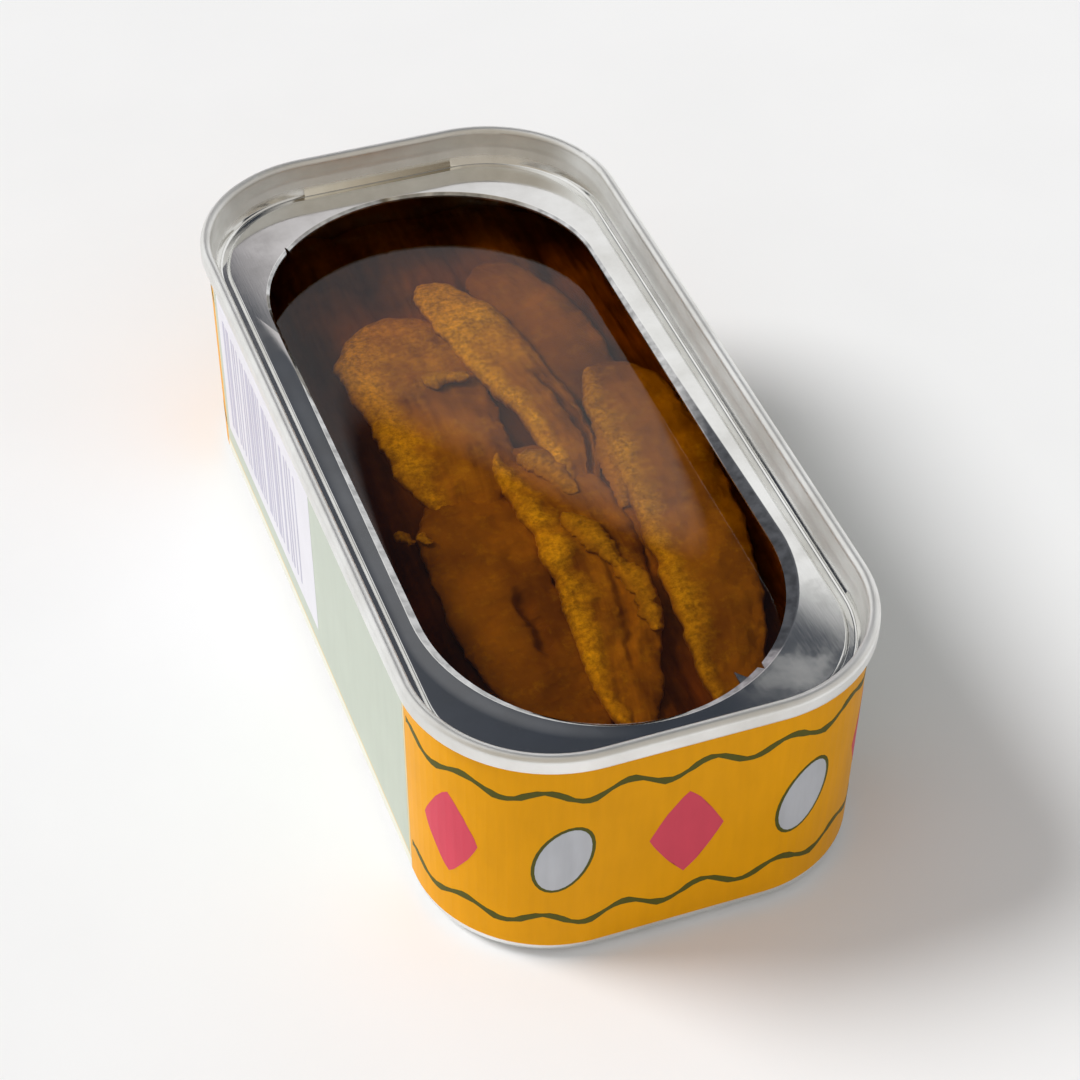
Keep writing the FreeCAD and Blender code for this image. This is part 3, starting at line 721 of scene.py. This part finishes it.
def fillet_tree():
    """A strip of fish along the starting line, with a torn rim, a slit and a rough surface."""
    names = (
        "Half width", "Half thickness", "Rim side", "Rim reach", "Rim height", "Rim from", "Raggedness",
        "Crumbs", "Head rub", "Slit side", "Slit middle", "Slit half length", "Slit depth", "Seed",
    )
    sizes = [(name, "Float") for name in names]
    sizes += [("Steps along", "Int"), ("Steps around", "Int"), ("Finish", "Material")]
    tree = new_tree("fillet_of_fish", sizes)
    given = add(tree, "NodeGroupInput").outputs

    # The line: smoothed, cut into even steps, and marked with what each step must remember.
    rough_line = add(tree, "GeometryNodeMeshToCurve", {"Mesh": given["Geometry"]})
    smooth = add(tree, "GeometryNodeCurveSplineType", {"Curve": rough_line}, spline_type="CATMULL_ROM")
    line = add(tree, "GeometryNodeResampleCurve", {"Curve": smooth, "Count": given["Steps along"]})
    share = add(tree, "GeometryNodeSplineParameter").outputs
    spot = add(tree, "GeometryNodeInputPosition")
    heading = add(tree, "GeometryNodeInputTangent")
    marks = (
        ("share", share["Factor"], "FLOAT"), ("run", share["Length"], "FLOAT"),
        ("middle", spot, "FLOAT_VECTOR"), ("ahead", heading, "FLOAT_VECTOR"),
    )
    for name, value, kind in marks:
        line = add(tree, "GeometryNodeStoreNamedAttribute", {
            "Geometry": line, "Name": name, "Value": value}, data_type=kind)

    # The half width: full at the shoulder, slim at the tail, and a little uneven on the way.
    wander_at = add(tree, "ShaderNodeMath", {
        0: share["Length"], 1: 90.0, 2: given["Seed"]}, operation="MULTIPLY_ADD")
    wander = add(tree, "ShaderNodeTexNoise", {
        "W": wander_at, "Scale": 1.0, "Detail": 3.0}, noise_dimensions="1D")
    uneven = add(tree, "ShaderNodeMapRange", {"Value": wander, "To Min": 0.86, "To Max": 1.14})
    breadth = add(tree, "ShaderNodeFloatCurve", {"Value": share["Factor"]}, points=BREADTH)
    even_half = add(tree, "ShaderNodeMath", {0: breadth, 1: given["Half width"]}, operation="MULTIPLY")
    half = add(tree, "ShaderNodeMath", {0: even_half, 1: uneven}, operation="MULTIPLY")
    line = add(tree, "GeometryNodeStoreNamedAttribute", {"Geometry": line, "Name": "half", "Value": half})
    upright = add(tree, "GeometryNodeSetCurveNormal", {"Curve": line}, mode="Z_UP")
    ring = add(tree, "GeometryNodeCurvePrimitiveCircle", {
        "Resolution": given["Steps around"], "Radius": 1.0})
    tube = add(tree, "GeometryNodeCurveToMesh", {
        "Curve": upright, "Profile Curve": ring, "Scale": half, "Fill Caps": True})

    # Where each point of the round tube lies: side is -1 at the left edge and 1 at the right, up the same.
    kept = (
        ("middle", "FLOAT_VECTOR"), ("ahead", "FLOAT_VECTOR"),
        ("half", "FLOAT"), ("share", "FLOAT"), ("run", "FLOAT"),
    )
    middle, ahead, half_here, share_here, run_here = [
        add(tree, "GeometryNodeInputNamedAttribute", {"Name": name}, data_type=kind) for name, kind in kept
    ]
    cross = add(tree, "ShaderNodeVectorMath", {0: (0, 0, 1), 1: ahead}, operation="CROSS_PRODUCT")
    sideways = add(tree, "ShaderNodeVectorMath", {0: cross}, operation="NORMALIZE")
    offset = add(tree, "ShaderNodeVectorMath", {0: spot, 1: middle}, operation="SUBTRACT")
    off_side = add(tree, "ShaderNodeVectorMath", {0: offset, 1: sideways}, operation="DOT_PRODUCT")
    off_ahead = add(tree, "ShaderNodeVectorMath", {0: offset, 1: ahead}, operation="DOT_PRODUCT")
    off_up = add(tree, "ShaderNodeSeparateXYZ", {0: offset})
    side_now = add(tree, "ShaderNodeMath", {0: off_side, 1: half_here}, operation="DIVIDE")
    up_now = add(tree, "ShaderNodeMath", {0: off_up.outputs["Z"], 1: half_here}, operation="DIVIDE")
    marked = add(tree, "GeometryNodeStoreNamedAttribute", {
        "Geometry": tube, "Name": "side", "Value": side_now})
    marked = add(tree, "GeometryNodeStoreNamedAttribute", {
        "Geometry": marked, "Name": "up", "Value": up_now})
    side, up = [add(tree, "GeometryNodeInputNamedAttribute", {"Name": name}) for name in ("side", "up")]

    # Pressed flat: the round height becomes a low, square-shouldered one.
    up_size = add(tree, "ShaderNodeMath", {0: up}, operation="ABSOLUTE")
    squared = add(tree, "ShaderNodeMath", {0: up_size, 1: 0.65}, operation="POWER")
    up_sign = add(tree, "ShaderNodeMath", {0: up}, operation="SIGN")
    flat_up = add(tree, "ShaderNodeMath", {0: squared, 1: up_sign}, operation="MULTIPLY")
    on_top = add(tree, "ShaderNodeMath", {0: flat_up, 1: 0.0}, operation="MAXIMUM")
    fullness = add(tree, "ShaderNodeMath", {0: half_here, 1: given["Half width"]}, operation="DIVIDE")
    taper = add(tree, "ShaderNodeMapRange", {"Value": fullness, "To Min": 0.35})
    low = add(tree, "ShaderNodeMath", {0: flat_up, 1: taper}, operation="MULTIPLY")
    rise = add(tree, "ShaderNodeMath", {0: low, 1: given["Half thickness"]}, operation="MULTIPLY")

    # The torn rim: broad, from one edge inwards, and uneven in reach and height.
    side_off = add(tree, "ShaderNodeMath", {0: side, 1: half_here}, operation="MULTIPLY")
    seed_off = add(tree, "ShaderNodeMath", {0: given["Seed"], 1: 0.013}, operation="MULTIPLY")
    lie = add(tree, "ShaderNodeCombineXYZ", {"X": run_here, "Y": side_off, "Z": seed_off})
    slow = add(tree, "ShaderNodeTexNoise", {
        "Vector": lie, "Scale": 0.17 / MM, "Detail": 4.0, "Roughness": 0.6})
    slow_shift = add(tree, "ShaderNodeMapRange", {"Value": slow, "To Min": -0.55, "To Max": 0.55})
    from_rim = add(tree, "ShaderNodeMath", {0: side, 1: given["Rim side"]}, operation="SUBTRACT")
    shifted = add(tree, "ShaderNodeMath", {0: from_rim, 1: slow_shift}, operation="ADD")
    away = add(tree, "ShaderNodeMath", {0: shifted}, operation="ABSOLUTE")
    near_rim = add(tree, "ShaderNodeMapRange", {
        "Value": away, "From Min": given["Rim reach"], "From Max": 0.0}, interpolation_type="SMOOTHSTEP")
    rim_start = add(tree, "ShaderNodeMath", {0: share_here, 1: given["Rim from"]}, operation="SUBTRACT")
    started = add(tree, "ShaderNodeMapRange", {"Value": rim_start, "From Min": -0.06, "From Max": 0.04})
    rim_here = add(tree, "ShaderNodeMath", {0: near_rim, 1: started}, operation="MULTIPLY")
    rim = add(tree, "ShaderNodeMath", {0: rim_here, 1: on_top}, operation="MULTIPLY")
    with_rim = add(tree, "ShaderNodeMath", {
        0: rim, 1: given["Rim height"], 2: rise}, operation="MULTIPLY_ADD")

    # The slit, and the head's rubbed top.
    to_slit = add(tree, "ShaderNodeMath", {0: share_here, 1: given["Slit middle"]}, operation="SUBTRACT")
    slit_off = add(tree, "ShaderNodeMath", {0: to_slit}, operation="ABSOLUTE")
    slit_part = add(tree, "ShaderNodeMath", {0: slit_off, 1: given["Slit half length"]}, operation="DIVIDE")
    slit_long = add(tree, "ShaderNodeMapRange", {"Value": slit_part, "From Min": 1.0, "From Max": 0.6})
    slit_side = add(tree, "ShaderNodeMath", {
        0: slow_shift, 1: 0.6, 2: given["Slit side"]}, operation="MULTIPLY_ADD")
    slit_away = add(tree, "ShaderNodeMath", {0: side, 1: slit_side}, operation="SUBTRACT")
    slit_size = add(tree, "ShaderNodeMath", {0: slit_away}, operation="ABSOLUTE")
    slit_wide = add(tree, "ShaderNodeMapRange", {
        "Value": slit_size, "From Min": 0.16, "From Max": 0.02}, interpolation_type="SMOOTHSTEP")
    slit_here = add(tree, "ShaderNodeMath", {0: slit_wide, 1: slit_long}, operation="MULTIPLY")
    slit = add(tree, "ShaderNodeMath", {0: slit_here, 1: on_top}, operation="MULTIPLY")
    slit_cut = add(tree, "ShaderNodeMath", {0: slit, 1: given["Slit depth"]}, operation="MULTIPLY")
    top = add(tree, "ShaderNodeMath", {0: with_rim, 1: slit_cut}, operation="SUBTRACT")
    head_far = add(tree, "ShaderNodeMapRange", {"Value": share_here, "From Min": 0.50, "From Max": 0.22})
    head_top = add(tree, "ShaderNodeMath", {0: head_far, 1: on_top}, operation="MULTIPLY")
    # How rubbed and lit each point is: the head's rubbed top plus the rim, which the flesh material turns
    # golden as a painted highlight on the side facing the lamp.
    rubbed = add(tree, "ShaderNodeMath", {
        0: head_top, 1: given["Head rub"], 2: rim}, operation="MULTIPLY_ADD")
    rubbed_and_lit_left = add(tree, "ShaderNodeMath", {0: rubbed, 1: slit}, operation="SUBTRACT")

    # Ragged edges, then every point goes to its new place.
    tear = add(tree, "ShaderNodeTexNoise", {"Vector": lie, "Scale": 0.7 / MM, "Detail": 3.0})
    tear_size = add(tree, "ShaderNodeMapRange", {"Value": tear, "To Min": -0.45, "To Max": 0.55})
    side_cube = add(tree, "ShaderNodeMath", {0: side, 1: 3.0}, operation="POWER")
    ragged = add(tree, "ShaderNodeMath", {0: tear_size, 1: side_cube}, operation="MULTIPLY")
    spread = add(tree, "ShaderNodeMath", {
        0: ragged, 1: given["Raggedness"], 2: side_off}, operation="MULTIPLY_ADD")
    to_side = add(tree, "ShaderNodeVectorMath", {0: sideways, "Scale": spread}, operation="SCALE")
    to_ahead = add(tree, "ShaderNodeVectorMath", {0: ahead, "Scale": off_ahead}, operation="SCALE")
    to_top = add(tree, "ShaderNodeCombineXYZ", {"Z": top})
    goal = middle
    for step in (to_side, to_ahead, to_top):
        goal = add(tree, "ShaderNodeVectorMath", {0: goal, 1: step}, operation="ADD")
    shaped = add(tree, "GeometryNodeStoreNamedAttribute", {
        "Geometry": marked, "Name": "rubbed", "Value": rubbed_and_lit_left})
    shaped = add(tree, "GeometryNodeStoreNamedAttribute", {
        "Geometry": shaped, "Name": "lie", "Value": lie}, data_type="FLOAT_VECTOR")
    shaped = add(tree, "GeometryNodeSetPosition", {"Geometry": shaped, "Position": goal})

    # A rough surface: lumps of 4 mm, fibres of 1.4 mm that run along, and 0.9 mm crumbs where it is rubbed.
    normal = add(tree, "GeometryNodeInputNormal")
    lie_kept = add(tree, "GeometryNodeInputNamedAttribute", {"Name": "lie"}, data_type="FLOAT_VECTOR")
    rubbed_and_lit_kept = add(tree, "GeometryNodeInputNamedAttribute", {"Name": "rubbed"})
    fibre_lie = add(tree, "ShaderNodeVectorMath", {0: lie_kept, 1: (0.12, 1.0, 1.0)}, operation="MULTIPLY")
    fibres = add(tree, "ShaderNodeTexNoise", {
        "Vector": fibre_lie, "Scale": 0.7 / MM, "Detail": 4.0, "Roughness": 0.55})
    lumps = add(tree, "ShaderNodeTexNoise", {"Vector": lie_kept, "Scale": 0.23 / MM, "Detail": 3.0})
    grains = add(tree, "ShaderNodeTexNoise", {
        "Vector": lie_kept, "Scale": 1.1 / MM, "Detail": 3.0, "Roughness": 0.7})
    fibre_size = add(tree, "ShaderNodeMapRange", {
        "Value": fibres, "To Min": -0.12 * MM, "To Max": 0.12 * MM})
    lump_size = add(tree, "ShaderNodeMapRange", {"Value": lumps, "To Min": -0.8 * MM, "To Max": 0.8 * MM})
    grain_size = add(tree, "ShaderNodeMapRange", {"Value": grains, "To Min": -0.5, "To Max": 0.5})
    bare = add(tree, "ShaderNodeMath", {0: rubbed_and_lit_kept, 1: 0.0}, operation="MAXIMUM")
    crumbly = add(tree, "ShaderNodeMath", {
        0: bare, 1: given["Crumbs"], 2: 0.1 * MM}, operation="MULTIPLY_ADD")
    soft = add(tree, "ShaderNodeMath", {0: fibre_size, 1: lump_size}, operation="ADD")
    rough = add(tree, "ShaderNodeMath", {0: grain_size, 1: crumbly, 2: soft}, operation="MULTIPLY_ADD")
    push = add(tree, "ShaderNodeVectorMath", {0: normal, "Scale": rough}, operation="SCALE")
    shaped = add(tree, "GeometryNodeSetPosition", {"Geometry": shaped, "Offset": push})
    shaded = add(tree, "GeometryNodeSetShadeSmooth", {"Geometry": shaped})
    plain = add(tree, "GeometryNodeRealizeInstances", {"Geometry": shaded})
    dressed = add(tree, "GeometryNodeSetMaterial", {"Geometry": plain, "Material": given["Finish"]})
    add(tree, "NodeGroupOutput", {"Geometry": dressed})
    return tree


fillet_sweep = fillet_tree()
print("fillet tree has", len(fillet_sweep.nodes), "nodes")

# %% [markdown]
# Each fillet gets a rough line of a few points, at the place of the frame's piece that it stands for. The
# line's height is set a little below that piece's top.

# %% Lay the top fillets
# Rim side -0.95 puts every fillet's rim on its left edge, the side that faces the lamp; the golden tone on
# it is painted highlight as well as rubbed flesh.
FILLET_SIZES = {
    "Half thickness": 1.5 * MM, "Raggedness": 0.7 * MM, "Crumbs": 0.4 * MM, "Head rub": 0.0, "Seed": 1.0,
    "Rim side": -0.95, "Rim reach": 0.75, "Rim height": 0.5 * MM, "Rim from": 0.0,
    "Slit side": 0.0, "Slit middle": 2.0, "Slit half length": 0.1, "Slit depth": 0.0,
    "Steps along": 260, "Steps around": 110,
}


def fillet(name, line, width, finish, **changes):
    """One fillet along a line of (x, y, z) in millimetres, head first. Lengths in changes are in metres."""
    sizes = FILLET_SIZES | {"Half width": width / 2 * MM, "Finish": finish}
    sizes |= {title.replace("_", " ").capitalize(): value for title, value in changes.items()}
    mesh = bpy.data.meshes.new(name)
    mesh.from_pydata(
        [(x * MM, y * MM, z * MM) for x, y, z in line], [(i, i + 1) for i in range(len(line) - 1)], []
    )
    return grown(name, mesh, fillet_sweep, sizes)


def top_of(node):
    """The top height of a frame piece in millimetres."""
    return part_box(node)[1][2] / MM


def top_fillet(part, below_top, spine, width, finish, **changes):
    """The fish for one fillet of the frame. Its spine's z is counted from a level below that piece's top."""
    level = top_of("fillet_" + part) - below_top
    piece = fillet("fish_" + part, [(x, y, level + z) for x, y, z in spine], width, finish, **changes)
    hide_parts("fillet_" + part)


spine = [(0.9, 37.0, -2.0), (2.2, 33.0, -1.2), (3.9, 27.0, -0.5), (5.4, 18.0, 0.0), (6.9, 10.5, 0.0)]
spine += [(7.4, 3.0, -0.1), (6.2, -6.5, -1.1)]
slit = {"slit_side": 0.62, "slit_middle": 0.74, "slit_half_length": 0.24, "slit_depth": 1.3 * MM}
top_fillet("head_centre", 2.5, spine, 8.4, fillet_flesh, head_rub=0.9, seed=3.0, **slit)

spine = [(-6.8, 32.2, -2.0), (-5.7, 26.0, -1.1), (-5.5, 18.0, -0.5), (-5.6, 10.0, -0.2), (-6.2, 3.0, 0.0)]
spine += [(-7.4, -5.0, -0.9)]
torn = {"rim_reach": 0.9, "rim_height": 0.3 * MM, "raggedness": 1.2 * MM}
top_fillet("left", 2.1, spine, 16.2, fillet_flesh, head_rub=0.45, seed=11.0, **torn)

spine = [(-0.4, 4.2, 0.1), (1.9, -1.0, 0.0), (3.6, -8.0, 0.0), (3.5, -15.0, 0.0), (2.8, -22.0, 0.0)]
spine += [(1.0, -30.0, 0.0), (-1.2, -41.0, -0.5)]
slit = {"slit_side": 0.25, "slit_middle": 0.65, "slit_half_length": 0.2, "slit_depth": 0.6 * MM}
top_fillet("ridge", 2.2, spine, 11.2, fillet_flesh, rim_reach=0.78, rim_height=1.0 * MM, seed=5.0, **slit)

spine = [(15.2, 16.0, -0.8), (17.0, 8.0, 0.0), (16.7, -5.0, 0.0), (15.7, -15.0, 0.0), (14.2, -24.0, 0.0)]
spine += [(12.3, -32.0, 0.0), (9.2, -42.0, -0.5)]
torn = {"rim_reach": 0.8, "rim_height": 0.6 * MM, "crumbs": 0.25 * MM}
top_fillet("right", 2.1, spine, 12.2, smooth_flesh, seed=8.0, **torn)

spine = [(8.6, 38.5, -0.8), (10.8, 32.0, -0.1), (12.6, 24.0, 0.0), (13.8, 15.0, 0.0), (14.2, 6.0, -0.8)]
top_fillet("far_right", 1.8, spine, 10.2, smooth_flesh, rim_from=2.0, seed=14.0)

spine = [(-6.4, 0.5, -0.3), (-7.4, -7.0, 0.0), (-8.0, -14.0, 0.0), (-8.4, -24.0, 0.0), (-7.6, -32.0, 0.0)]
spine += [(-5.6, -40.5, -0.5)]
slit = {"slit_side": 0.38, "slit_middle": 0.57, "slit_half_length": 0.15, "slit_depth": 1.0 * MM}
top_fillet("near_left", 2.0, spine, 13.4, smooth_flesh, rim_from=2.0, seed=2.0, **slit)

# %% [markdown]
# Handling breaks small flakes off the torn rims. They lie where they fell: one across the left fillet, some
# along the ridge's right side, and crumbs near the left edge. The same tree makes them, with fewer steps.

# %% Loose flakes
FLAKES = [
    ("flake_across", [(-5.0, 17.4), (-2.6, 17.9), (0.2, 17.0)], 2.4, -0.3),
    ("flake_ridge_upper", [(2.4, -8.5), (4.2, -13.5), (5.6, -19.0)], 3.0, -0.55),
    ("flake_ridge_lower", [(5.2, -17.0), (6.2, -23.0), (5.6, -29.0)], 2.8, -0.75),
    ("flake_at_tail", [(1.2, 2.2), (3.4, -0.5), (5.2, -6.0)], 3.2, -0.75),
    ("strand_in_gap", [(12.4, 7.0), (11.4, 0.0), (9.6, -9.5)], 3.0, -1.5),
    ("crumb_left_one", [(-15.9, -5.2), (-15.2, -6.4), (-14.4, -7.6)], 1.7, -1.3),
    ("crumb_left_two", [(-13.9, -6.4), (-13.3, -7.4), (-12.5, -8.4)], 1.6, -0.9),
]
# A flake's rim sits in its middle and reaches over its whole top, so the top takes the golden tone: painted
# highlight as well as rubbed flesh.
FLAKE_SIZES = {
    "half_thickness": 0.5 * MM, "raggedness": 2.0 * MM, "crumbs": 0.5 * MM,
    "rim_side": 0.0, "rim_reach": 1.6, "rim_height": 0.2 * MM, "steps_along": 110, "steps_around": 48,
}
for order, (name, path, width, lift) in enumerate(FLAKES):
    level = top_of("fillet_left") - 0.2 + lift
    line = [(x, y, level) for x, y in path]
    fillet("fish_" + name, line, width, flake_flesh, seed=20.0 + order, **FLAKE_SIZES)

# %% [markdown]
# ## The layers below
# Under the top fillets lie more, packed side by side. Only their backs show in the gaps, as long soft
# ridges. They are one closed form: a fine grid whose outline is the tin's inside, raised by ridges that
# wander. The rows of the grid are packed closer in the rounded ends, so its edge stays smooth there.

# %% A grid with the tin's outline
def rows_and_half_widths(inset, rows):
    """Rows from the near end to the far end, each with the half width of the outline there."""
    radius = CORNER_RADIUS - inset
    half_x = RIM_WIDTH / 2 - inset
    end_steps = rows // 4
    side_steps = rows - 2 * end_steps
    turns = [k / end_steps * pi / 2 for k in range(end_steps + 1)]
    found = [(-STRAIGHT_Y - radius * cos(turn), STRAIGHT_X + radius * sin(turn)) for turn in turns[:-1]]
    found += [(-STRAIGHT_Y + 2 * STRAIGHT_Y * k / side_steps, half_x) for k in range(side_steps + 1)]
    found += [(STRAIGHT_Y + radius * sin(turn), STRAIGHT_X + radius * cos(turn)) for turn in turns[1:]]
    return found


def filling(name, top_inset, foot_inset, top, foot, rows, columns):
    """A closed form that fills the tin's outline from height foot up to top(x, y)."""
    points = []
    for inset, height in ((top_inset, top), (foot_inset, lambda x, y: foot)):
        for y, half in rows_and_half_widths(inset, rows):
            for c in range(columns + 1):
                # The columns stand a little closer together towards the wall.
                x = half * sin((c / columns - 0.5) * pi) * 0.25 + half * (2 * c / columns - 1) * 0.75
                points.append((x * MM, y * MM, height(x, y) * MM))
    wide = columns + 1
    count = len(points) // wide // 2
    under = count * wide
    faces = []
    for r in range(count - 1):
        for c in range(columns):
            a = r * wide + c
            faces.append((a, a + 1, a + wide + 1, a + wide))
            faces.append((under + a, under + a + wide, under + a + wide + 1, under + a + 1))
    edge = list(range(wide)) + [r * wide + columns for r in range(1, count)]
    edge += [(count - 1) * wide + c for c in range(columns - 1, -1, -1)]
    edge += [r * wide for r in range(count - 2, 0, -1)]
    for a, b in zip(edge, edge[1:] + edge[:1]):
        faces.append((a, under + a, under + b, b))
    mesh = bpy.data.meshes.new(name)
    mesh.from_pydata(points, [], faces)
    mesh.update()
    return mesh


def wall_inset(z):
    """How far the outside of the wall lies in from the rim at height z."""
    return FOOT_INSET + (HEAD_INSET - FOOT_INSET) * (z - HEEL_RADIUS) / (SEAM_FOOT - HEEL_RADIUS)


def keep_piece(name, mesh, node):
    """Links a finished mesh as a piece of the tin that stands for a frame piece."""
    mesh.polygons.foreach_set("use_smooth", [True] * len(mesh.polygons))
    piece = bpy.data.objects.new(name, mesh)
    scene.collection.objects.link(piece)
    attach(piece, "root")
    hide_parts(node)
    print(name, "triangles", sum(len(p.vertices) - 2 for p in mesh.polygons))


# %% The lower fillets
BED_LEVEL = 17.3


def bed_top(x, y):
    """Ridges of the layer below: a little uneven, heaped in the middle and sunk towards the long walls."""
    wander = 1.6 * noise.noise(Vector((x * 0.03, y * 0.045, 4.0)))
    phase = 2 * pi * 4.5 * (x + wander) / RIM_WIDTH
    ridge = abs(cos(phase / 2)) ** 0.7 * 2.0 - 1.2
    lumps = noise.fractal(Vector((x * 0.25, y * 0.10, 1.0)), 0.8, 2.0, 4) * 0.6
    fibres = noise.fractal(Vector((x * 2.2, y * 0.25, 7.0)), 0.9, 2.0, 3) * 0.18
    sink = 1.6 * max(0.0, min(1.0, (-x - 10) / 8)) + 1.4 * max(0.0, min(1.0, (x - 17) / 5))
    heaped = 1.7 * exp(-((x - 8) ** 2) / 45 - ((y + 8) ** 2) / 600)
    return BED_LEVEL - 0.6 + ridge + lumps + fibres + heaped - sink


bed_insets = (wall_inset(17.0) + SHEET + 0.05, wall_inset(3.0) + SHEET + 0.4)
bed_mesh = filling("fish_layers_below", *bed_insets, bed_top, 1.5, 300, 130)
# The darker flesh of the layers below is painted shade.
bed_mesh.materials.append(shaded_flesh_below)
keep_piece("fish_layers_below", bed_mesh, "packed_fillets")
bed_mesh.attributes.new("lie", "FLOAT_VECTOR", "POINT")
bed_mesh.attributes.new("rubbed", "FLOAT", "POINT")
places = [vertex.co.copy() for vertex in bed_mesh.vertices]
bed_mesh.attributes["lie"].data.foreach_set("vector", [v for co in places for v in (co.y, co.x, 0.0)])
# Painted highlight: the golden rubbed tone grows with height above the bed's level, so the ridge tops read
# lighter.
bed_mesh.attributes["rubbed"].data.foreach_set("value", [0.25 * (co.z / MM - BED_LEVEL) for co in places])

# %% [markdown]
# ## The oil
# Olive oil is clear and takes out blue light first, so a thin layer is yellow and a deep one brown. It
# isn't a surface colour: the oil is a closed form that light enters, and it is tinted by how far it
# travels inside. The oil creeps up the wall in a hollow curve, about as high as two millimetres, which
# bends what its surface mirrors near the wall. Its top is a mirror with a very faint swell and a film of
# finest crumbs, which a small bump and a roughness of a few hundredths give. Lamp light is let straight
# through, because a sharp refracted shadow of it would only be noise.

# %% Oil finish
clear = {"Base Color": (1, 1, 1, 1), "Transmission Weight": 1.0, "IOR": 1.47}
oil_finish, oil_tree, oil_shader = new_finish("clear_olive_oil", clear)
oil_place = add(oil_tree, "ShaderNodeTexCoord").outputs["Object"]
swell = add(oil_tree, "ShaderNodeTexNoise", {"Vector": oil_place, "Scale": 0.07 / MM, "Detail": 2.0})
swell_bump = add(oil_tree, "ShaderNodeBump", {"Height": swell, "Strength": 1.0, "Distance": 0.006 * MM})
oil_tree.links.new(swell_bump.outputs[0], oil_shader.inputs["Normal"])
dust = add(oil_tree, "ShaderNodeTexNoise", {"Vector": oil_place, "Scale": 0.5 / MM, "Detail": 4.0})
film = add(oil_tree, "ShaderNodeMapRange", {
    "Value": dust, "From Min": 0.50, "From Max": 0.75, "To Max": 0.03})
oil_tree.links.new(film.outputs[0], oil_shader.inputs["Roughness"])
oil_rays = add(oil_tree, "ShaderNodeLightPath")
let_through = add(oil_tree, "ShaderNodeBsdfTransparent", {"Color": (0.95, 0.95, 0.95, 1)})
oil_surface = add(oil_tree, "ShaderNodeMixShader", {
    0: oil_rays.outputs["Is Shadow Ray"], 1: oil_shader.outputs[0], 2: let_through})
oil_output = oil_tree.nodes["Material Output"]
oil_tree.links.new(oil_surface.outputs[0], oil_output.inputs["Surface"])
tint = add(oil_tree, "ShaderNodeVolumeAbsorption", {"Color": (0.85, 0.765, 0.05, 1), "Density": 430.0})
oil_tree.links.new(tint.outputs[0], oil_output.inputs["Volume"])

# %% Fill the tin with oil
MENISCUS = 1.9


def wall_distance(x, y):
    """How far a point lies in from the wall's inside."""
    inset = wall_inset(OIL_LEVEL) + SHEET
    qx = abs(x) - STRAIGHT_X
    qy = abs(y) - STRAIGHT_Y
    outside = hypot(max(qx, 0), max(qy, 0)) + min(max(qx, qy), 0)
    return max(0.0, CORNER_RADIUS - inset - outside)


def oil_top(x, y):
    """Level oil that creeps up the wall."""
    return OIL_LEVEL + MENISCUS * exp(-wall_distance(x, y) / MENISCUS)


oil_insets = (wall_inset(25.0) + SHEET / 2, wall_inset(13.0) + SHEET / 2)
oil_mesh = filling("oil_surface_and_body", *oil_insets, oil_top, 13.0, 240, 120)
oil_mesh.materials.append(oil_finish)
keep_piece("oil_fill", oil_mesh, "oil")
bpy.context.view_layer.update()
bpy.data.objects.remove(rim_line)
